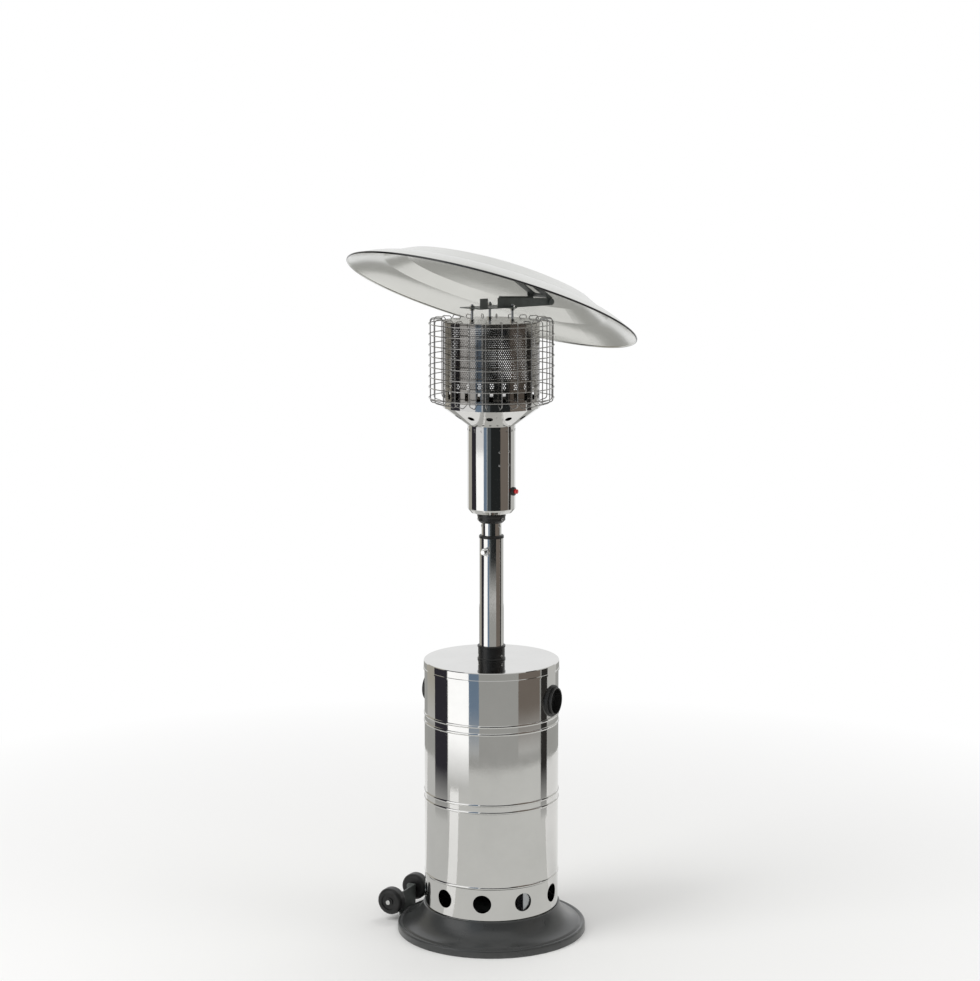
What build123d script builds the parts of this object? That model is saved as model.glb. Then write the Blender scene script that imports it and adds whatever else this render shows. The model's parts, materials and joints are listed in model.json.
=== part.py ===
"""Free-standing gas patio heater: wheeled base, bottle housing, telescopic mast, tilting reflector.

Millimetres, +Z up. The origin is on the mast's axis at the floor. The front, with the igniter
button, looks along -Y, and the transport wheels are at the back, along +Y.
"""
import os
from math import cos, radians, sin, sqrt, tan

from build123d import *

# General clearances
SLIDE_FIT = 0.05
GLUE_GAP = 0.02
SEAT_GAP = 0.2
HOLE_GAP = 0.2
SIDE_GAP = 0.5

# Base
RIM_R = 233.0
RIM_HEIGHT = 19.0
RIM_ROUND = 5.0
COVER_WALL = 1.6
GROOVE_INSET = 11.0
GROOVE_DEPTH = 2.0
FLARE_INSET = 16.0
LIP_REACH = 4.5
FLARE_HOLLOW = 6.5
LIP_TOP_Z = 69.0
LIP_WIDTH = 3.3
LEDGE_DROP = 3.4
COLLAR_SHEET_INSET = 2.0
COLLAR_SHEET_FOOT_Z = 42.0
PLATE_THICKNESS = 6.0
PLATE_EDGE_GAP = 0.3

# Bottle rack inside the housing
LEG_COUNT = 3
LEG_INSET = 5.0
LEG_THICKNESS = 4.0
LEG_WIDTH = 30.0
LEG_FOOT_LENGTH = 36.0
LEG_HEAD_LENGTH = 38.0
RACK_TOP_Z = 640.0
MOUNT_PLATE_INSET = 10.0
MOUNT_PLATE_THICKNESS = 5.0
HOSE_HOLE_R = 16.0
BOLT_R = 4.0
BOLT_HEAD_ACROSS = 13.0
BOLT_HEAD_HEIGHT = 5.3
LEG_HEAD_BOLT_INSET = 15.0
FLANGE_BOLT_COUNT = 4
FLANGE_BOLT_ANGLE = 45.0
FLANGE_BOLT_R = 42.0
FLANGE_R = 55.0
FLANGE_THICKNESS = 5.0
COVER_SCREW_Z = 53.0
COVER_SCREW_R = 2.5

# Transport wheels
WHEEL_R = 33.5
WHEEL_WIDTH = 32.0
WHEEL_ROUND = 9.0
WHEEL_HUB_R = 10.0
WHEEL_DISH_R = 21.0
WHEEL_DISH_DEPTH = 3.0
WHEEL_X = 64.5
WHEEL_Y = 247.5
WHEEL_Z = 50.0
AXLE_R = 4.0
CAP_R = 6.0
CAP_LENGTH = 5.0
EAR_X = 41.0
EAR_THICKNESS = 3.0
BRACKET_BACK_GAP = 2.5
BRACKET_TOP_Z = 63.0
TONGUE_WIDTH = 70.0
TONGUE_THICKNESS = 3.0
TONGUE_DEPTH = 48.0
TONGUE_BOLT_INSET = 14.0

# Bottle housing
HOUSING_R = 165.0
HOUSING_WALL = 1.0
RIB_HEIGHTS = (150.0, 338.0, 356.0, 531.0, 550.0)
RIB_WIDTH = 7.0
RIB_PROUD = 1.6
VENT_COUNT = 10
VENT_R = 22.5
VENT_Z = 111.0
LID_TOP_Z = 682.0
LID_SHEET = 1.0
LID_REACH = 2.5
LID_SKIRT = 22.0
LID_BEAD = 4.5
GRIP_R = 39.0
GRIP_BELOW_LID = 88.5
GRIP_PROUD = 4.5
GRIP_ROUND = 2.5
GRIP_CUP_R = 33.0
GRIP_CUP_DEPTH = 11.0
GRIP_WALL = 3.0
GRIP_BACK = 2.5
COLLAR_R = 33.0
COLLAR_LIP_R = 34.5
COLLAR_HEIGHT = 35.0
COLLAR_LIP_HEIGHT = 5.0
COLLAR_SPIGOT_R = 31.6
COLLAR_SPIGOT_DEPTH = 6.0
COLLAR_SCREW_ABOVE = 11.0

# Mast
OUTER_R = 30.0
MIDDLE_R = 25.0
INNER_R = 21.0
TUBE_WALL = 1.5
OUTER_TOP_Z = 984.0
BUSH_LIP = 7.0
BUSH_LIP_R = 30.5
BUSH_SKIRT = 20.0
MIDDLE_TOP_Z = 1022.0
MIDDLE_STAGE_TRAVEL = 259.0
FOOT_BUSH_HEIGHT = 20.0
CLAMP_HEIGHT = 25.0
CLAMP_TOP_R = 35.0
CLAMP_FOOT_R = 30.0
CLAMP_SKIRT = 20.0
INNER_FOOT_Z = 690.0
INNER_BUSH_HEIGHT = 15.0
RING_SCREW_COUNT = 3
SMALL_SCREW_R = 1.5
RING_SCREW_ANGLE = 16.0
POLE_SCREW_BELOW_TOP = 7.5
CLAMP_SCREW_ABOVE = 10.0
PIN_Z = 954.0
PIN_R = 4.0
PIN_TIP_GAP = 0.3
GUIDE_R = 9.0
GUIDE_LENGTH = 12.0
GUIDE_SPIGOT_R = 5.6
PIN_HEAD_R = 6.0
PIN_HEAD_LENGTH = 7.0
PULL_RING_WIRE_R = 1.4

# Head can
HEAD_R = 58.5
HEAD_WALL = 1.0
HEAD_FOOT_R = 50.0
HEAD_FOOT_RISE = 11.0
HEAD_TOP_Z = 1260.0
HEAD_FLANGE_R = 46.0
HEAD_FLANGE_THICKNESS = 3.0
HEAD_SCREW_COUNT = 3
HEAD_SCREW_ANGLE = 30.0
HEAD_SCREW_R = 2.5
AIR_HOLE_COUNT = 18
AIR_HOLE_R = 3.5
AIR_HOLE_BELOW_TOP = 8.0

# Gas train in the head
BRACKET_ANGLE = -120.5
BRACKET_SPAN = 40.0
BRACKET_SHEET = 1.5
RIVET_SPAN = 27.0
RIVET_R = 1.5
RIVET_LOW_Z = 1169.0
RIVET_HIGH_Z = 1201.0
RIVET_HEAD_R = 2.6
ARM_Z = 1154.0
ARM_WIDTH = 40.0
ARM_REACH = 22.0
VALVE_WIDTH = 36.0
VALVE_DEPTH = 30.0
VALVE_HEIGHT = 40.0
STEM_R = 4.0
STEM_ABOVE_VALVE_FOOT = 20.0
KNOB_R = 20.0
KNOB_LENGTH = 22.0
KNOB_FACE_R = 16.0
BEZEL_R = 24.0
BEZEL_PROUD = 3.5
INLET_ACROSS = 17.0
INLET_HEIGHT = 14.0
HOSE_TAIL_R = 5.0
HOSE_TAIL_LENGTH = 22.0
INJECTOR_ACROSS = 15.0
INJECTOR_HEIGHT = 12.0
NOZZLE_R = 3.5
NOZZLE_HEIGHT = 12.0
MIXER_R = 14.0
MIXER_WALL = 1.5
MIXER_FOOT_Z = 1174.0
MIXER_FLARE_R = 20.0
IGNITER_Z = 1102.0
IGNITER_BEZEL_R = 10.5
IGNITER_PROUD = 5.0
IGNITER_BARREL_R = 8.0
IGNITER_BARREL_END = 22.0
BUTTON_R = 5.6
BUTTON_PROUD = 7.5
BUTTON_TRAVEL = 5.0
BUTTON_LENGTH = 26.0

# Burner bowl, emitter and guard
BOWL_NECK_GAP = 0.3
BOWL_SHEET = 1.0
BOWL_NECK_DEPTH = 14.0
BOWL_NECK_TOP_Z = 1262.0
BOWL_R = 118.6
BOWL_CONE_TOP_Z = 1306.0
BOWL_RIM_TOP_Z = 1322.0
BOWL_HOLE_COUNT = 12
BOWL_HOLE_R = 8.5
BOWL_HOLE_RING_R = 90.0
BOWL_HOLE_ANGLE = 23.0
EMITTER_R = 117.2
EMITTER_WALL = 0.8
SLOT_COUNT = 24
SLOT_ANGLE = 10.5
SLOT_WIDTH = 10.0
SLOT_LOW_Z = 1330.0
SLOT_HIGH_Z = 1351.0
CAP_TOP_Z = 1516.0
CAP_SHEET = 1.0
CAP_SKIRT = 10.0
BURNER_R = 52.0
BURNER_HEIGHT = 26.0
BURNER_PORT_COUNT = 24
PORT_R = 2.5
PILOT_R = 70.0
PILOT_SPACING = 14.0
PILOT_TUBE_R = 2.5
WIRE_R = 1.2
CAGE_R = 149.4
CAGE_BEND_R = 8.0
UPRIGHT_COUNT = 24
UPRIGHT_ANGLE = 5.7
SPOKE_TOP_Z = 1521.0
SPOKE_FOOT_Z = 1312.0
CAGE_FOOT_Z = 1321.0
RING_COUNT = 8
RING_LOW_Z = 1329.6
RING_PITCH = 25.6

# Tilting reflector and its hinge
HEADING = -23.0
TILT = 20.9
STUD_R = 3.0
STUD_RING_R = 56.0
STUD_ANGLE = -90.0
STUD_COUNT = 3
NUT_ACROSS = 10.0
NUT_HEIGHT = 5.0
TRAY_Z = 1547.0
TRAY_SHEET = 2.0
TRAY_HALF = 38.0
TRAY_BACK = -68.0
TRAY_END = 146.0
TAB_END = -44.0
NOTCH_END = -12.0
FAR_FLANGE_START = 57.0
TRAY_EAR_R = 11.0
FLANGE_HIGH = 26.0
FLANGE_LOW = 18.0
FLANGE_CORNER = 3.0
FAR_FLANGE_HIGH = 22.7
PIVOT_REACH = 158.0
PIVOT_Z = 1556.0
PIVOT_PIN_R = 4.0
PIVOT_HEAD_R = 8.0
LUG_R = 8.5
LUG_SHEET = 2.5
REFLECTOR_R = 364.0
RIM_CENTRE_Z = 1562.0
RIM_BEAD_R = 2.5
STEP_OUTER_R = 281.0
STEP_OUTER_H = 34.0
STEP_INNER_R = 234.0
CROWN_EDGE_H = 58.0
CROWN_H = 86.0
OUTER_BULGE = 4.0
REFLECTOR_SHEET = 1.2
STRAP_SHEET = 2.0
STRAP_START = 154.0
STRAP_START_H = 63.0
PAD_OUTER = 62.0
PAD_INNER = 8.0
WINDOW_HALF = 11.0
WINDOW_START = 76.0
WINDOW_END = 138.0
PAD_BOLT_REACH = (20.0, 50.0)
PAD_BOLT_HALF = 24.0
REFLECTOR_BOLT_R = 3.0

LOW = (Align.CENTER, Align.CENTER, Align.MIN)
HIGH = (Align.CENTER, Align.CENTER, Align.MAX)


# Planes and small shapes that several pieces share
def on_circle(radius, angle, height=0.0):
    """Point at an angle round the mast's axis."""
    return (radius * cos(radians(angle)), radius * sin(radians(angle)), height)


def outward(angle, height, radius=0.0):
    """Plane that faces straight out from the mast's axis."""
    return Plane(origin=on_circle(radius, angle, height), x_dir=(0, 0, 1), z_dir=on_circle(1.0, angle))


def profile(points, plane=Plane.XZ):
    """Face inside a closed outline of straight runs."""
    with BuildSketch(plane) as outline:
        with BuildLine():
            Polyline(*points, close=True)
        make_face()
    return outline.sketch


def tube(outer, inner, foot, top):
    """Half section of a plain ring about the mast's axis."""
    return profile([(inner, foot), (outer, foot), (outer, top), (inner, top)])


def hex_bolt(shank_r, length, across, height):
    """Hexagon bolt along +Z, with the seat of its head at the origin."""
    with BuildPart() as bolt:
        Cylinder(shank_r, length, align=HIGH)
        with BuildSketch():
            RegularPolygon(across / 2, 6, major_radius=False)
        extrude(amount=height)
        chamfer(bolt.faces().sort_by(Axis.Z)[-1].edges(), height * 0.12)
    return bolt.part


def hex_nut(bore_r, across, height):
    """Hexagon nut along +Z, standing on the origin."""
    with BuildPart() as nut:
        with BuildSketch():
            RegularPolygon(across / 2, 6, major_radius=False)
            Circle(bore_r, mode=Mode.SUBTRACT)
        extrude(amount=height)
    return nut.part


def dome_screw(shank_r, length, head_r, height):
    """Round headed screw along +Z, with the seat of its head at the origin."""
    with BuildPart() as screw:
        Cylinder(shank_r, length, align=HIGH)
        Cylinder(head_r, height, align=LOW)
        fillet(screw.faces().sort_by(Axis.Z)[-1].edges(), height * 0.6)
    return screw.part


# Base: its lip and the rack inside follow the housing, and its foot follows the rim
groove_r = RIM_R - GROOVE_INSET
flare_foot_r = RIM_R - FLARE_INSET
flare_top_r = HOUSING_R + LIP_REACH
collar_sheet_r = HOUSING_R - COLLAR_SHEET_INSET
leg_r = HOUSING_R - LEG_INSET
mount_plate_r = leg_r - MOUNT_PLATE_INSET
leg_head_bolt_r = mount_plate_r - LEG_HEAD_BOLT_INSET
ledge_z = LIP_TOP_Z - LEDGE_DROP
lip_inner_r = flare_top_r - LIP_WIDTH
plate_r = RIM_R - COVER_WALL - PLATE_EDGE_GAP
flare_foot_z = RIM_HEIGHT - GROOVE_DEPTH + 3.5
flare_top_z = LIP_TOP_Z - 3.0
leg_foot_r = leg_r + LEG_FOOT_LENGTH
leg_bolt_r = leg_r + LEG_FOOT_LENGTH * 0.55
bracket_y = RIM_R + BRACKET_BACK_GAP
tongue_y = bracket_y - TONGUE_DEPTH
tongue_bolt_y = tongue_y + TONGUE_BOLT_INSET
tongue_bolt_x = TONGUE_WIDTH / 2 - 12.0

with BuildPart() as bottom_plate:
    Cylinder(plate_r, PLATE_THICKNESS, align=LOW)
    with PolarLocations(leg_bolt_r, LEG_COUNT):
        Hole(BOLT_R + HOLE_GAP)
    with Locations((tongue_bolt_x, tongue_bolt_y), (-tongue_bolt_x, tongue_bolt_y)):
        Hole(BOLT_R + HOLE_GAP)

flare_mid = ((flare_foot_r + flare_top_r) / 2 - FLARE_HOLLOW, (flare_foot_z + flare_top_z) / 2 - FLARE_HOLLOW)
ledge_foot_z = ledge_z - COVER_WALL
with BuildPart() as base_cover:
    with BuildSketch(Plane.XZ):
        with BuildLine():
            rim_side = Polyline((RIM_R - COVER_WALL, 0), (RIM_R, 0), (RIM_R, RIM_HEIGHT - RIM_ROUND))
            bead = TangentArc(rim_side @ 1, (RIM_R - RIM_ROUND, RIM_HEIGHT), tangent=(0, 1))
            groove = Polyline(
                bead @ 1,
                (groove_r, RIM_HEIGHT - GROOVE_DEPTH),
                (flare_foot_r, flare_foot_z),
            )
            flare = ThreePointArc(groove @ 1, flare_mid, (flare_top_r, flare_top_z))
            lip = Polyline(
                flare @ 1,
                (flare_top_r, LIP_TOP_Z - 0.8),
                (flare_top_r - 0.8, LIP_TOP_Z),
                (lip_inner_r, LIP_TOP_Z),
                (lip_inner_r, ledge_z),
                (collar_sheet_r, ledge_z),
                (collar_sheet_r, COLLAR_SHEET_FOOT_Z),
                (collar_sheet_r - COVER_WALL, COLLAR_SHEET_FOOT_Z),
                (collar_sheet_r - COVER_WALL, ledge_foot_z),
                (flare_top_r - COVER_WALL, ledge_foot_z),
            )
            under = ThreePointArc(
                lip @ 1,
                (flare_mid[0] - COVER_WALL, flare_mid[1] - COVER_WALL),
                (flare_foot_r - COVER_WALL, flare_foot_z - COVER_WALL),
            )
            Polyline(
                under @ 1,
                (groove_r, RIM_HEIGHT - GROOVE_DEPTH - COVER_WALL),
                (RIM_R - RIM_ROUND, RIM_HEIGHT - COVER_WALL),
                (RIM_R - COVER_WALL, RIM_HEIGHT - RIM_ROUND),
                rim_side @ 0,
            )
        make_face()
    revolve(axis=Axis.Z)
    with Locations((0, RIM_R, PLATE_THICKNESS)):
        Box(TONGUE_WIDTH + 1, 3 * RIM_ROUND, TONGUE_THICKNESS + 1, align=LOW, mode=Mode.SUBTRACT)
    for number in range(LEG_COUNT):
        with Locations(outward(number * 360 / LEG_COUNT, COVER_SCREW_Z, collar_sheet_r)):
            Cylinder(COVER_SCREW_R + HOLE_GAP, 4 * COVER_WALL, mode=Mode.SUBTRACT)

# Bottle rack: three strip legs that carry the mast's mounting plate over the bottle
with BuildPart() as single_leg:
    leg_side = [
        (leg_r - LEG_THICKNESS, PLATE_THICKNESS),
        (leg_foot_r, PLATE_THICKNESS),
        (leg_foot_r, PLATE_THICKNESS + LEG_THICKNESS),
        (leg_r, PLATE_THICKNESS + LEG_THICKNESS),
        (leg_r, RACK_TOP_Z),
        (leg_r - LEG_HEAD_LENGTH, RACK_TOP_Z),
        (leg_r - LEG_HEAD_LENGTH, RACK_TOP_Z - LEG_THICKNESS),
        (leg_r - LEG_THICKNESS, RACK_TOP_Z - LEG_THICKNESS),
    ]
    extrude(profile(leg_side), amount=LEG_WIDTH / 2, both=True)
    with Locations((leg_bolt_r, 0, PLATE_THICKNESS), (leg_head_bolt_r, 0, RACK_TOP_Z)):
        Cylinder(BOLT_R + HOLE_GAP, 3 * LEG_THICKNESS, mode=Mode.SUBTRACT)
    with Locations(outward(0, COVER_SCREW_Z, leg_r)):
        Cylinder(COVER_SCREW_R + HOLE_GAP, 3 * LEG_THICKNESS, mode=Mode.SUBTRACT)

with BuildPart() as support_legs:
    with PolarLocations(0, LEG_COUNT):
        add(single_leg.part)

with BuildPart() as base_bolts:
    base_bolt = hex_bolt(BOLT_R, TONGUE_THICKNESS + PLATE_THICKNESS - 1, BOLT_HEAD_ACROSS, BOLT_HEAD_HEIGHT)
    for number in range(LEG_COUNT):
        spot = on_circle(leg_bolt_r, number * 360 / LEG_COUNT, PLATE_THICKNESS + LEG_THICKNESS)
        with Locations(spot):
            add(base_bolt)
    for side in (-1, 1):
        with Locations((side * tongue_bolt_x, tongue_bolt_y, PLATE_THICKNESS + TONGUE_THICKNESS)):
            add(base_bolt)

with BuildPart() as cover_screws:
    cover_screw = dome_screw(COVER_SCREW_R, LEG_THICKNESS + COVER_WALL + 3, 5, 2.6)
    for number in range(LEG_COUNT):
        angle = number * 360 / LEG_COUNT
        inward = Plane(
            origin=on_circle(leg_r - LEG_THICKNESS, angle, COVER_SCREW_Z),
            x_dir=(0, 0, 1),
            z_dir=on_circle(-1.0, angle),
        )
        with Locations(inward):
            add(cover_screw)

mount_top_z = RACK_TOP_Z + MOUNT_PLATE_THICKNESS
with BuildPart() as pole_mount_plate:
    with BuildSketch(Plane.XY.offset(RACK_TOP_Z)):
        Circle(mount_plate_r)
        Circle(HOSE_HOLE_R, mode=Mode.SUBTRACT)
        with PolarLocations(leg_head_bolt_r, LEG_COUNT):
            Circle(BOLT_R + HOLE_GAP, mode=Mode.SUBTRACT)
        with PolarLocations(FLANGE_BOLT_R, FLANGE_BOLT_COUNT, 45):
            Circle(BOLT_R + HOLE_GAP, mode=Mode.SUBTRACT)
    extrude(amount=MOUNT_PLATE_THICKNESS)

with BuildPart() as mount_plate_bolts:
    rack_bolt = hex_bolt(BOLT_R, MOUNT_PLATE_THICKNESS + LEG_THICKNESS, BOLT_HEAD_ACROSS, BOLT_HEAD_HEIGHT)
    for number in range(LEG_COUNT):
        with Locations(on_circle(leg_head_bolt_r, number * 360 / LEG_COUNT, mount_top_z)):
            add(rack_bolt)
    for number in range(FLANGE_BOLT_COUNT):
        angle = FLANGE_BOLT_ANGLE + number * 360 / FLANGE_BOLT_COUNT
        with Locations(on_circle(FLANGE_BOLT_R, angle, mount_top_z + FLANGE_THICKNESS)):
            add(rack_bolt)

# Transport wheels on their bracket
ear_reach = WHEEL_Y + 12.0
with BuildPart() as wheel_bracket:
    with Locations((0, tongue_y, PLATE_THICKNESS)):
        Box(TONGUE_WIDTH, TONGUE_DEPTH + TONGUE_THICKNESS, TONGUE_THICKNESS,
            align=(Align.CENTER, Align.MIN, Align.MIN))
    with Locations((0, bracket_y, PLATE_THICKNESS)):
        Box(2 * EAR_X, TONGUE_THICKNESS, BRACKET_TOP_Z - PLATE_THICKNESS,
            align=(Align.CENTER, Align.MIN, Align.MIN))
    ear_side = [
        (bracket_y, PLATE_THICKNESS),
        (ear_reach - 6, WHEEL_Z - 16),
        (ear_reach, WHEEL_Z - 6),
        (ear_reach, BRACKET_TOP_Z - 4),
        (ear_reach - 4, BRACKET_TOP_Z),
        (bracket_y, BRACKET_TOP_Z),
    ]
    for side in (-1, 1):
        ear_plane = Plane.YZ.offset(side * (EAR_X - EAR_THICKNESS / 2))
        extrude(profile(ear_side, ear_plane), amount=EAR_THICKNESS / 2, both=True)
    with Locations(Plane((0, WHEEL_Y, WHEEL_Z), z_dir=(1, 0, 0))):
        Cylinder(AXLE_R + GLUE_GAP, 4 * EAR_X, mode=Mode.SUBTRACT)
    with Locations((tongue_bolt_x, tongue_bolt_y), (-tongue_bolt_x, tongue_bolt_y)):
        Hole(BOLT_R + HOLE_GAP)

wheel_outer_x = WHEEL_X + WHEEL_WIDTH / 2
wheel_inner_x = WHEEL_X - WHEEL_WIDTH / 2
axle_end_x = wheel_outer_x + SIDE_GAP + CAP_LENGTH - 1.5
with BuildPart() as wheel_axle:
    with Locations(Plane((0, WHEEL_Y, WHEEL_Z), z_dir=(1, 0, 0))):
        Cylinder(AXLE_R, 2 * axle_end_x)

with BuildPart() as axle_caps:
    for side in (-1, 1):
        cap_plane = Plane((side * (wheel_outer_x + SIDE_GAP), WHEEL_Y, WHEEL_Z), z_dir=(side, 0, 0))
        with Locations(cap_plane):
            Cylinder(CAP_R, CAP_LENGTH, align=LOW)
            Cylinder(AXLE_R + GLUE_GAP, CAP_LENGTH - 1.5 + GLUE_GAP, align=LOW, mode=Mode.SUBTRACT)
    fillet(axle_caps.faces().sort_by(Axis.X)[-1].edges(), 1.2)
    fillet(axle_caps.faces().sort_by(Axis.X)[0].edges(), 1.2)


def wheel(side):
    """Solid wheel with a rounded tread, dished faces and a hub that reaches its bracket ear."""
    with BuildPart(Plane((side * WHEEL_X, WHEEL_Y, WHEEL_Z), z_dir=(side, 0, 0))) as turned:
        Cylinder(WHEEL_R, WHEEL_WIDTH)
        fillet(turned.edges().filter_by(GeomType.CIRCLE), WHEEL_ROUND)
        with Locations((0, 0, WHEEL_WIDTH / 2 - WHEEL_DISH_DEPTH)):
            Cylinder(WHEEL_DISH_R, WHEEL_DISH_DEPTH, align=LOW, mode=Mode.SUBTRACT)
            Cylinder(WHEEL_HUB_R, WHEEL_DISH_DEPTH, align=LOW)
        with Locations((0, 0, -WHEEL_WIDTH / 2)):
            Cylinder(WHEEL_HUB_R, wheel_inner_x - EAR_X - SIDE_GAP, align=HIGH)
        Cylinder(AXLE_R + SLIDE_FIT, 3 * WHEEL_WIDTH, mode=Mode.SUBTRACT)
    return turned.part


with BuildPart() as wheel_left:
    add(wheel(-1))

with BuildPart() as wheel_right:
    add(wheel(1))

# Bottle housing
housing_foot_z = ledge_z + SEAT_GAP
housing_top_z = LID_TOP_Z - LID_SHEET - SEAT_GAP
grip_z = LID_TOP_Z - GRIP_BELOW_LID
with BuildPart() as tank_housing:
    with BuildSketch(Plane.XZ):
        with BuildLine():
            last = (HOUSING_R, housing_foot_z)
            for height in RIB_HEIGHTS:
                start = (HOUSING_R, height - RIB_WIDTH / 2)
                Line(last, start)
                last = (HOUSING_R, height + RIB_WIDTH / 2)
                ThreePointArc(start, (HOUSING_R + RIB_PROUD, height), last)
            Polyline(last, (HOUSING_R, housing_top_z), (HOUSING_R - HOUSING_WALL, housing_top_z))
            last = (HOUSING_R - HOUSING_WALL, housing_top_z)
            for height in reversed(RIB_HEIGHTS):
                start = (HOUSING_R - HOUSING_WALL, height + RIB_WIDTH / 2)
                Line(last, start)
                last = (HOUSING_R - HOUSING_WALL, height - RIB_WIDTH / 2)
                ThreePointArc(start, (HOUSING_R - HOUSING_WALL + RIB_PROUD, height), last)
            Polyline(last, (HOUSING_R - HOUSING_WALL, housing_foot_z), (HOUSING_R, housing_foot_z))
        make_face()
    revolve(axis=Axis.Z)
    for number in range(VENT_COUNT):
        with Locations(outward(-90 + number * 360 / VENT_COUNT, VENT_Z, HOUSING_R)):
            Cylinder(VENT_R, 6 * RIB_WIDTH, mode=Mode.SUBTRACT)
    for angle in (-90, 90):
        with Locations(outward(angle, grip_z, HOUSING_R)):
            Cylinder(GRIP_CUP_R + SIDE_GAP, 6 * RIB_WIDTH, mode=Mode.SUBTRACT)

lid_foot_z = LID_TOP_Z - LID_SKIRT
lid_r = HOUSING_R + LID_REACH
skirt_r = lid_r - 1.0
with BuildPart() as housing_lid:
    lid_section = [
        (COLLAR_SPIGOT_R + HOLE_GAP, LID_TOP_Z - LID_SHEET),
        (HOUSING_R + PLATE_EDGE_GAP, LID_TOP_Z - LID_SHEET),
        (HOUSING_R + PLATE_EDGE_GAP, lid_foot_z),
        (lid_r, lid_foot_z),
        (lid_r, lid_foot_z + LID_BEAD - 1),
        (skirt_r, lid_foot_z + LID_BEAD),
        (skirt_r, LID_TOP_Z - 1.5),
        (skirt_r - 1.5, LID_TOP_Z),
        (COLLAR_SPIGOT_R + HOLE_GAP, LID_TOP_Z),
    ]
    revolve(profile(lid_section), axis=Axis.Z)

collar_top_z = LID_TOP_Z + COLLAR_HEIGHT
collar_screw_z = LID_TOP_Z + COLLAR_SCREW_ABOVE
with BuildPart() as lid_collar:
    collar_section = [
        (OUTER_R + SLIDE_FIT, LID_TOP_Z - COLLAR_SPIGOT_DEPTH),
        (COLLAR_SPIGOT_R, LID_TOP_Z - COLLAR_SPIGOT_DEPTH),
        (COLLAR_SPIGOT_R, LID_TOP_Z),
        (COLLAR_LIP_R, LID_TOP_Z),
        (COLLAR_LIP_R, LID_TOP_Z + 3),
        (COLLAR_R, LID_TOP_Z + 4.5),
        (COLLAR_R, collar_top_z - COLLAR_LIP_HEIGHT),
        (COLLAR_LIP_R, collar_top_z - COLLAR_LIP_HEIGHT + 1),
        (COLLAR_LIP_R, collar_top_z - 1),
        (COLLAR_LIP_R - 1, collar_top_z),
        (OUTER_R + SLIDE_FIT, collar_top_z),
    ]
    revolve(profile(collar_section), axis=Axis.Z)
    for number in range(RING_SCREW_COUNT):
        angle = RING_SCREW_ANGLE + number * 360 / RING_SCREW_COUNT
        with Locations(outward(angle, collar_screw_z, COLLAR_R)):
            Cylinder(SMALL_SCREW_R + GLUE_GAP, 4 * BOLT_R, mode=Mode.SUBTRACT)

with BuildPart() as lid_collar_screws:
    collar_screw = dome_screw(SMALL_SCREW_R, COLLAR_R - OUTER_R - PIN_TIP_GAP, 3, 1.6)
    for number in range(RING_SCREW_COUNT):
        angle = RING_SCREW_ANGLE + number * 360 / RING_SCREW_COUNT
        with Locations(outward(angle, collar_screw_z, COLLAR_R)):
            add(collar_screw)


def grip(angle):
    """Round finger cup: a flange shaped to the housing, and a recess that reaches inside it."""
    face_r = HOUSING_R + GRIP_PROUD
    with BuildPart() as cup:
        with Locations(outward(angle, grip_z, face_r)):
            Cylinder(GRIP_R, 2 * GRIP_PROUD, align=HIGH)
        fillet(cup.edges().filter_by(GeomType.CIRCLE).sort_by(lambda edge: edge.center().length)[-1], GRIP_ROUND)
        Cylinder(HOUSING_R + GLUE_GAP, 2 * LID_TOP_Z, mode=Mode.SUBTRACT)
        with Locations(outward(angle, grip_z, HOUSING_R)):
            Cylinder(GRIP_CUP_R, 2 * GRIP_CUP_DEPTH)
            Cylinder(GRIP_CUP_R - GRIP_WALL, 3 * GRIP_CUP_DEPTH,
                     align=LOW, mode=Mode.SUBTRACT)
        with Locations(outward(angle, grip_z, HOUSING_R - GRIP_CUP_DEPTH + GRIP_BACK)):
            Cylinder(GRIP_CUP_R - GRIP_WALL, 3 * GRIP_CUP_DEPTH, align=LOW, mode=Mode.SUBTRACT)
    return cup.part


with BuildPart() as grip_front:
    add(grip(-90))

with BuildPart() as grip_back:
    add(grip(90))

# Outer mast tube, fixed to the rack
guide_face_r = OUTER_R + GUIDE_LENGTH
with BuildPart() as outer_pole:
    revolve(tube(OUTER_R, OUTER_R - TUBE_WALL, mount_top_z, OUTER_TOP_Z), axis=Axis.Z)
    revolve(tube(FLANGE_R, OUTER_R - TUBE_WALL, mount_top_z, mount_top_z + FLANGE_THICKNESS), axis=Axis.Z)
    for number in range(FLANGE_BOLT_COUNT):
        with Locations(on_circle(FLANGE_BOLT_R, FLANGE_BOLT_ANGLE + number * 360 / FLANGE_BOLT_COUNT, mount_top_z)):
            Cylinder(BOLT_R + HOLE_GAP, 3 * FLANGE_THICKNESS, mode=Mode.SUBTRACT)
    with Locations(outward(180, PIN_Z, OUTER_R)):
        Cylinder(GUIDE_SPIGOT_R + GLUE_GAP, 6 * TUBE_WALL, mode=Mode.SUBTRACT)

with BuildPart() as pole_top_bush:
    bush_section = [
        (MIDDLE_R + SLIDE_FIT, OUTER_TOP_Z - BUSH_SKIRT),
        (OUTER_R - TUBE_WALL - GLUE_GAP, OUTER_TOP_Z - BUSH_SKIRT),
        (OUTER_R - TUBE_WALL - GLUE_GAP, OUTER_TOP_Z),
        (BUSH_LIP_R, OUTER_TOP_Z),
        (BUSH_LIP_R, OUTER_TOP_Z + BUSH_LIP - 2),
        (BUSH_LIP_R - 2, OUTER_TOP_Z + BUSH_LIP),
        (MIDDLE_R + SLIDE_FIT, OUTER_TOP_Z + BUSH_LIP),
    ]
    revolve(profile(bush_section), axis=Axis.Z)

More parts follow.
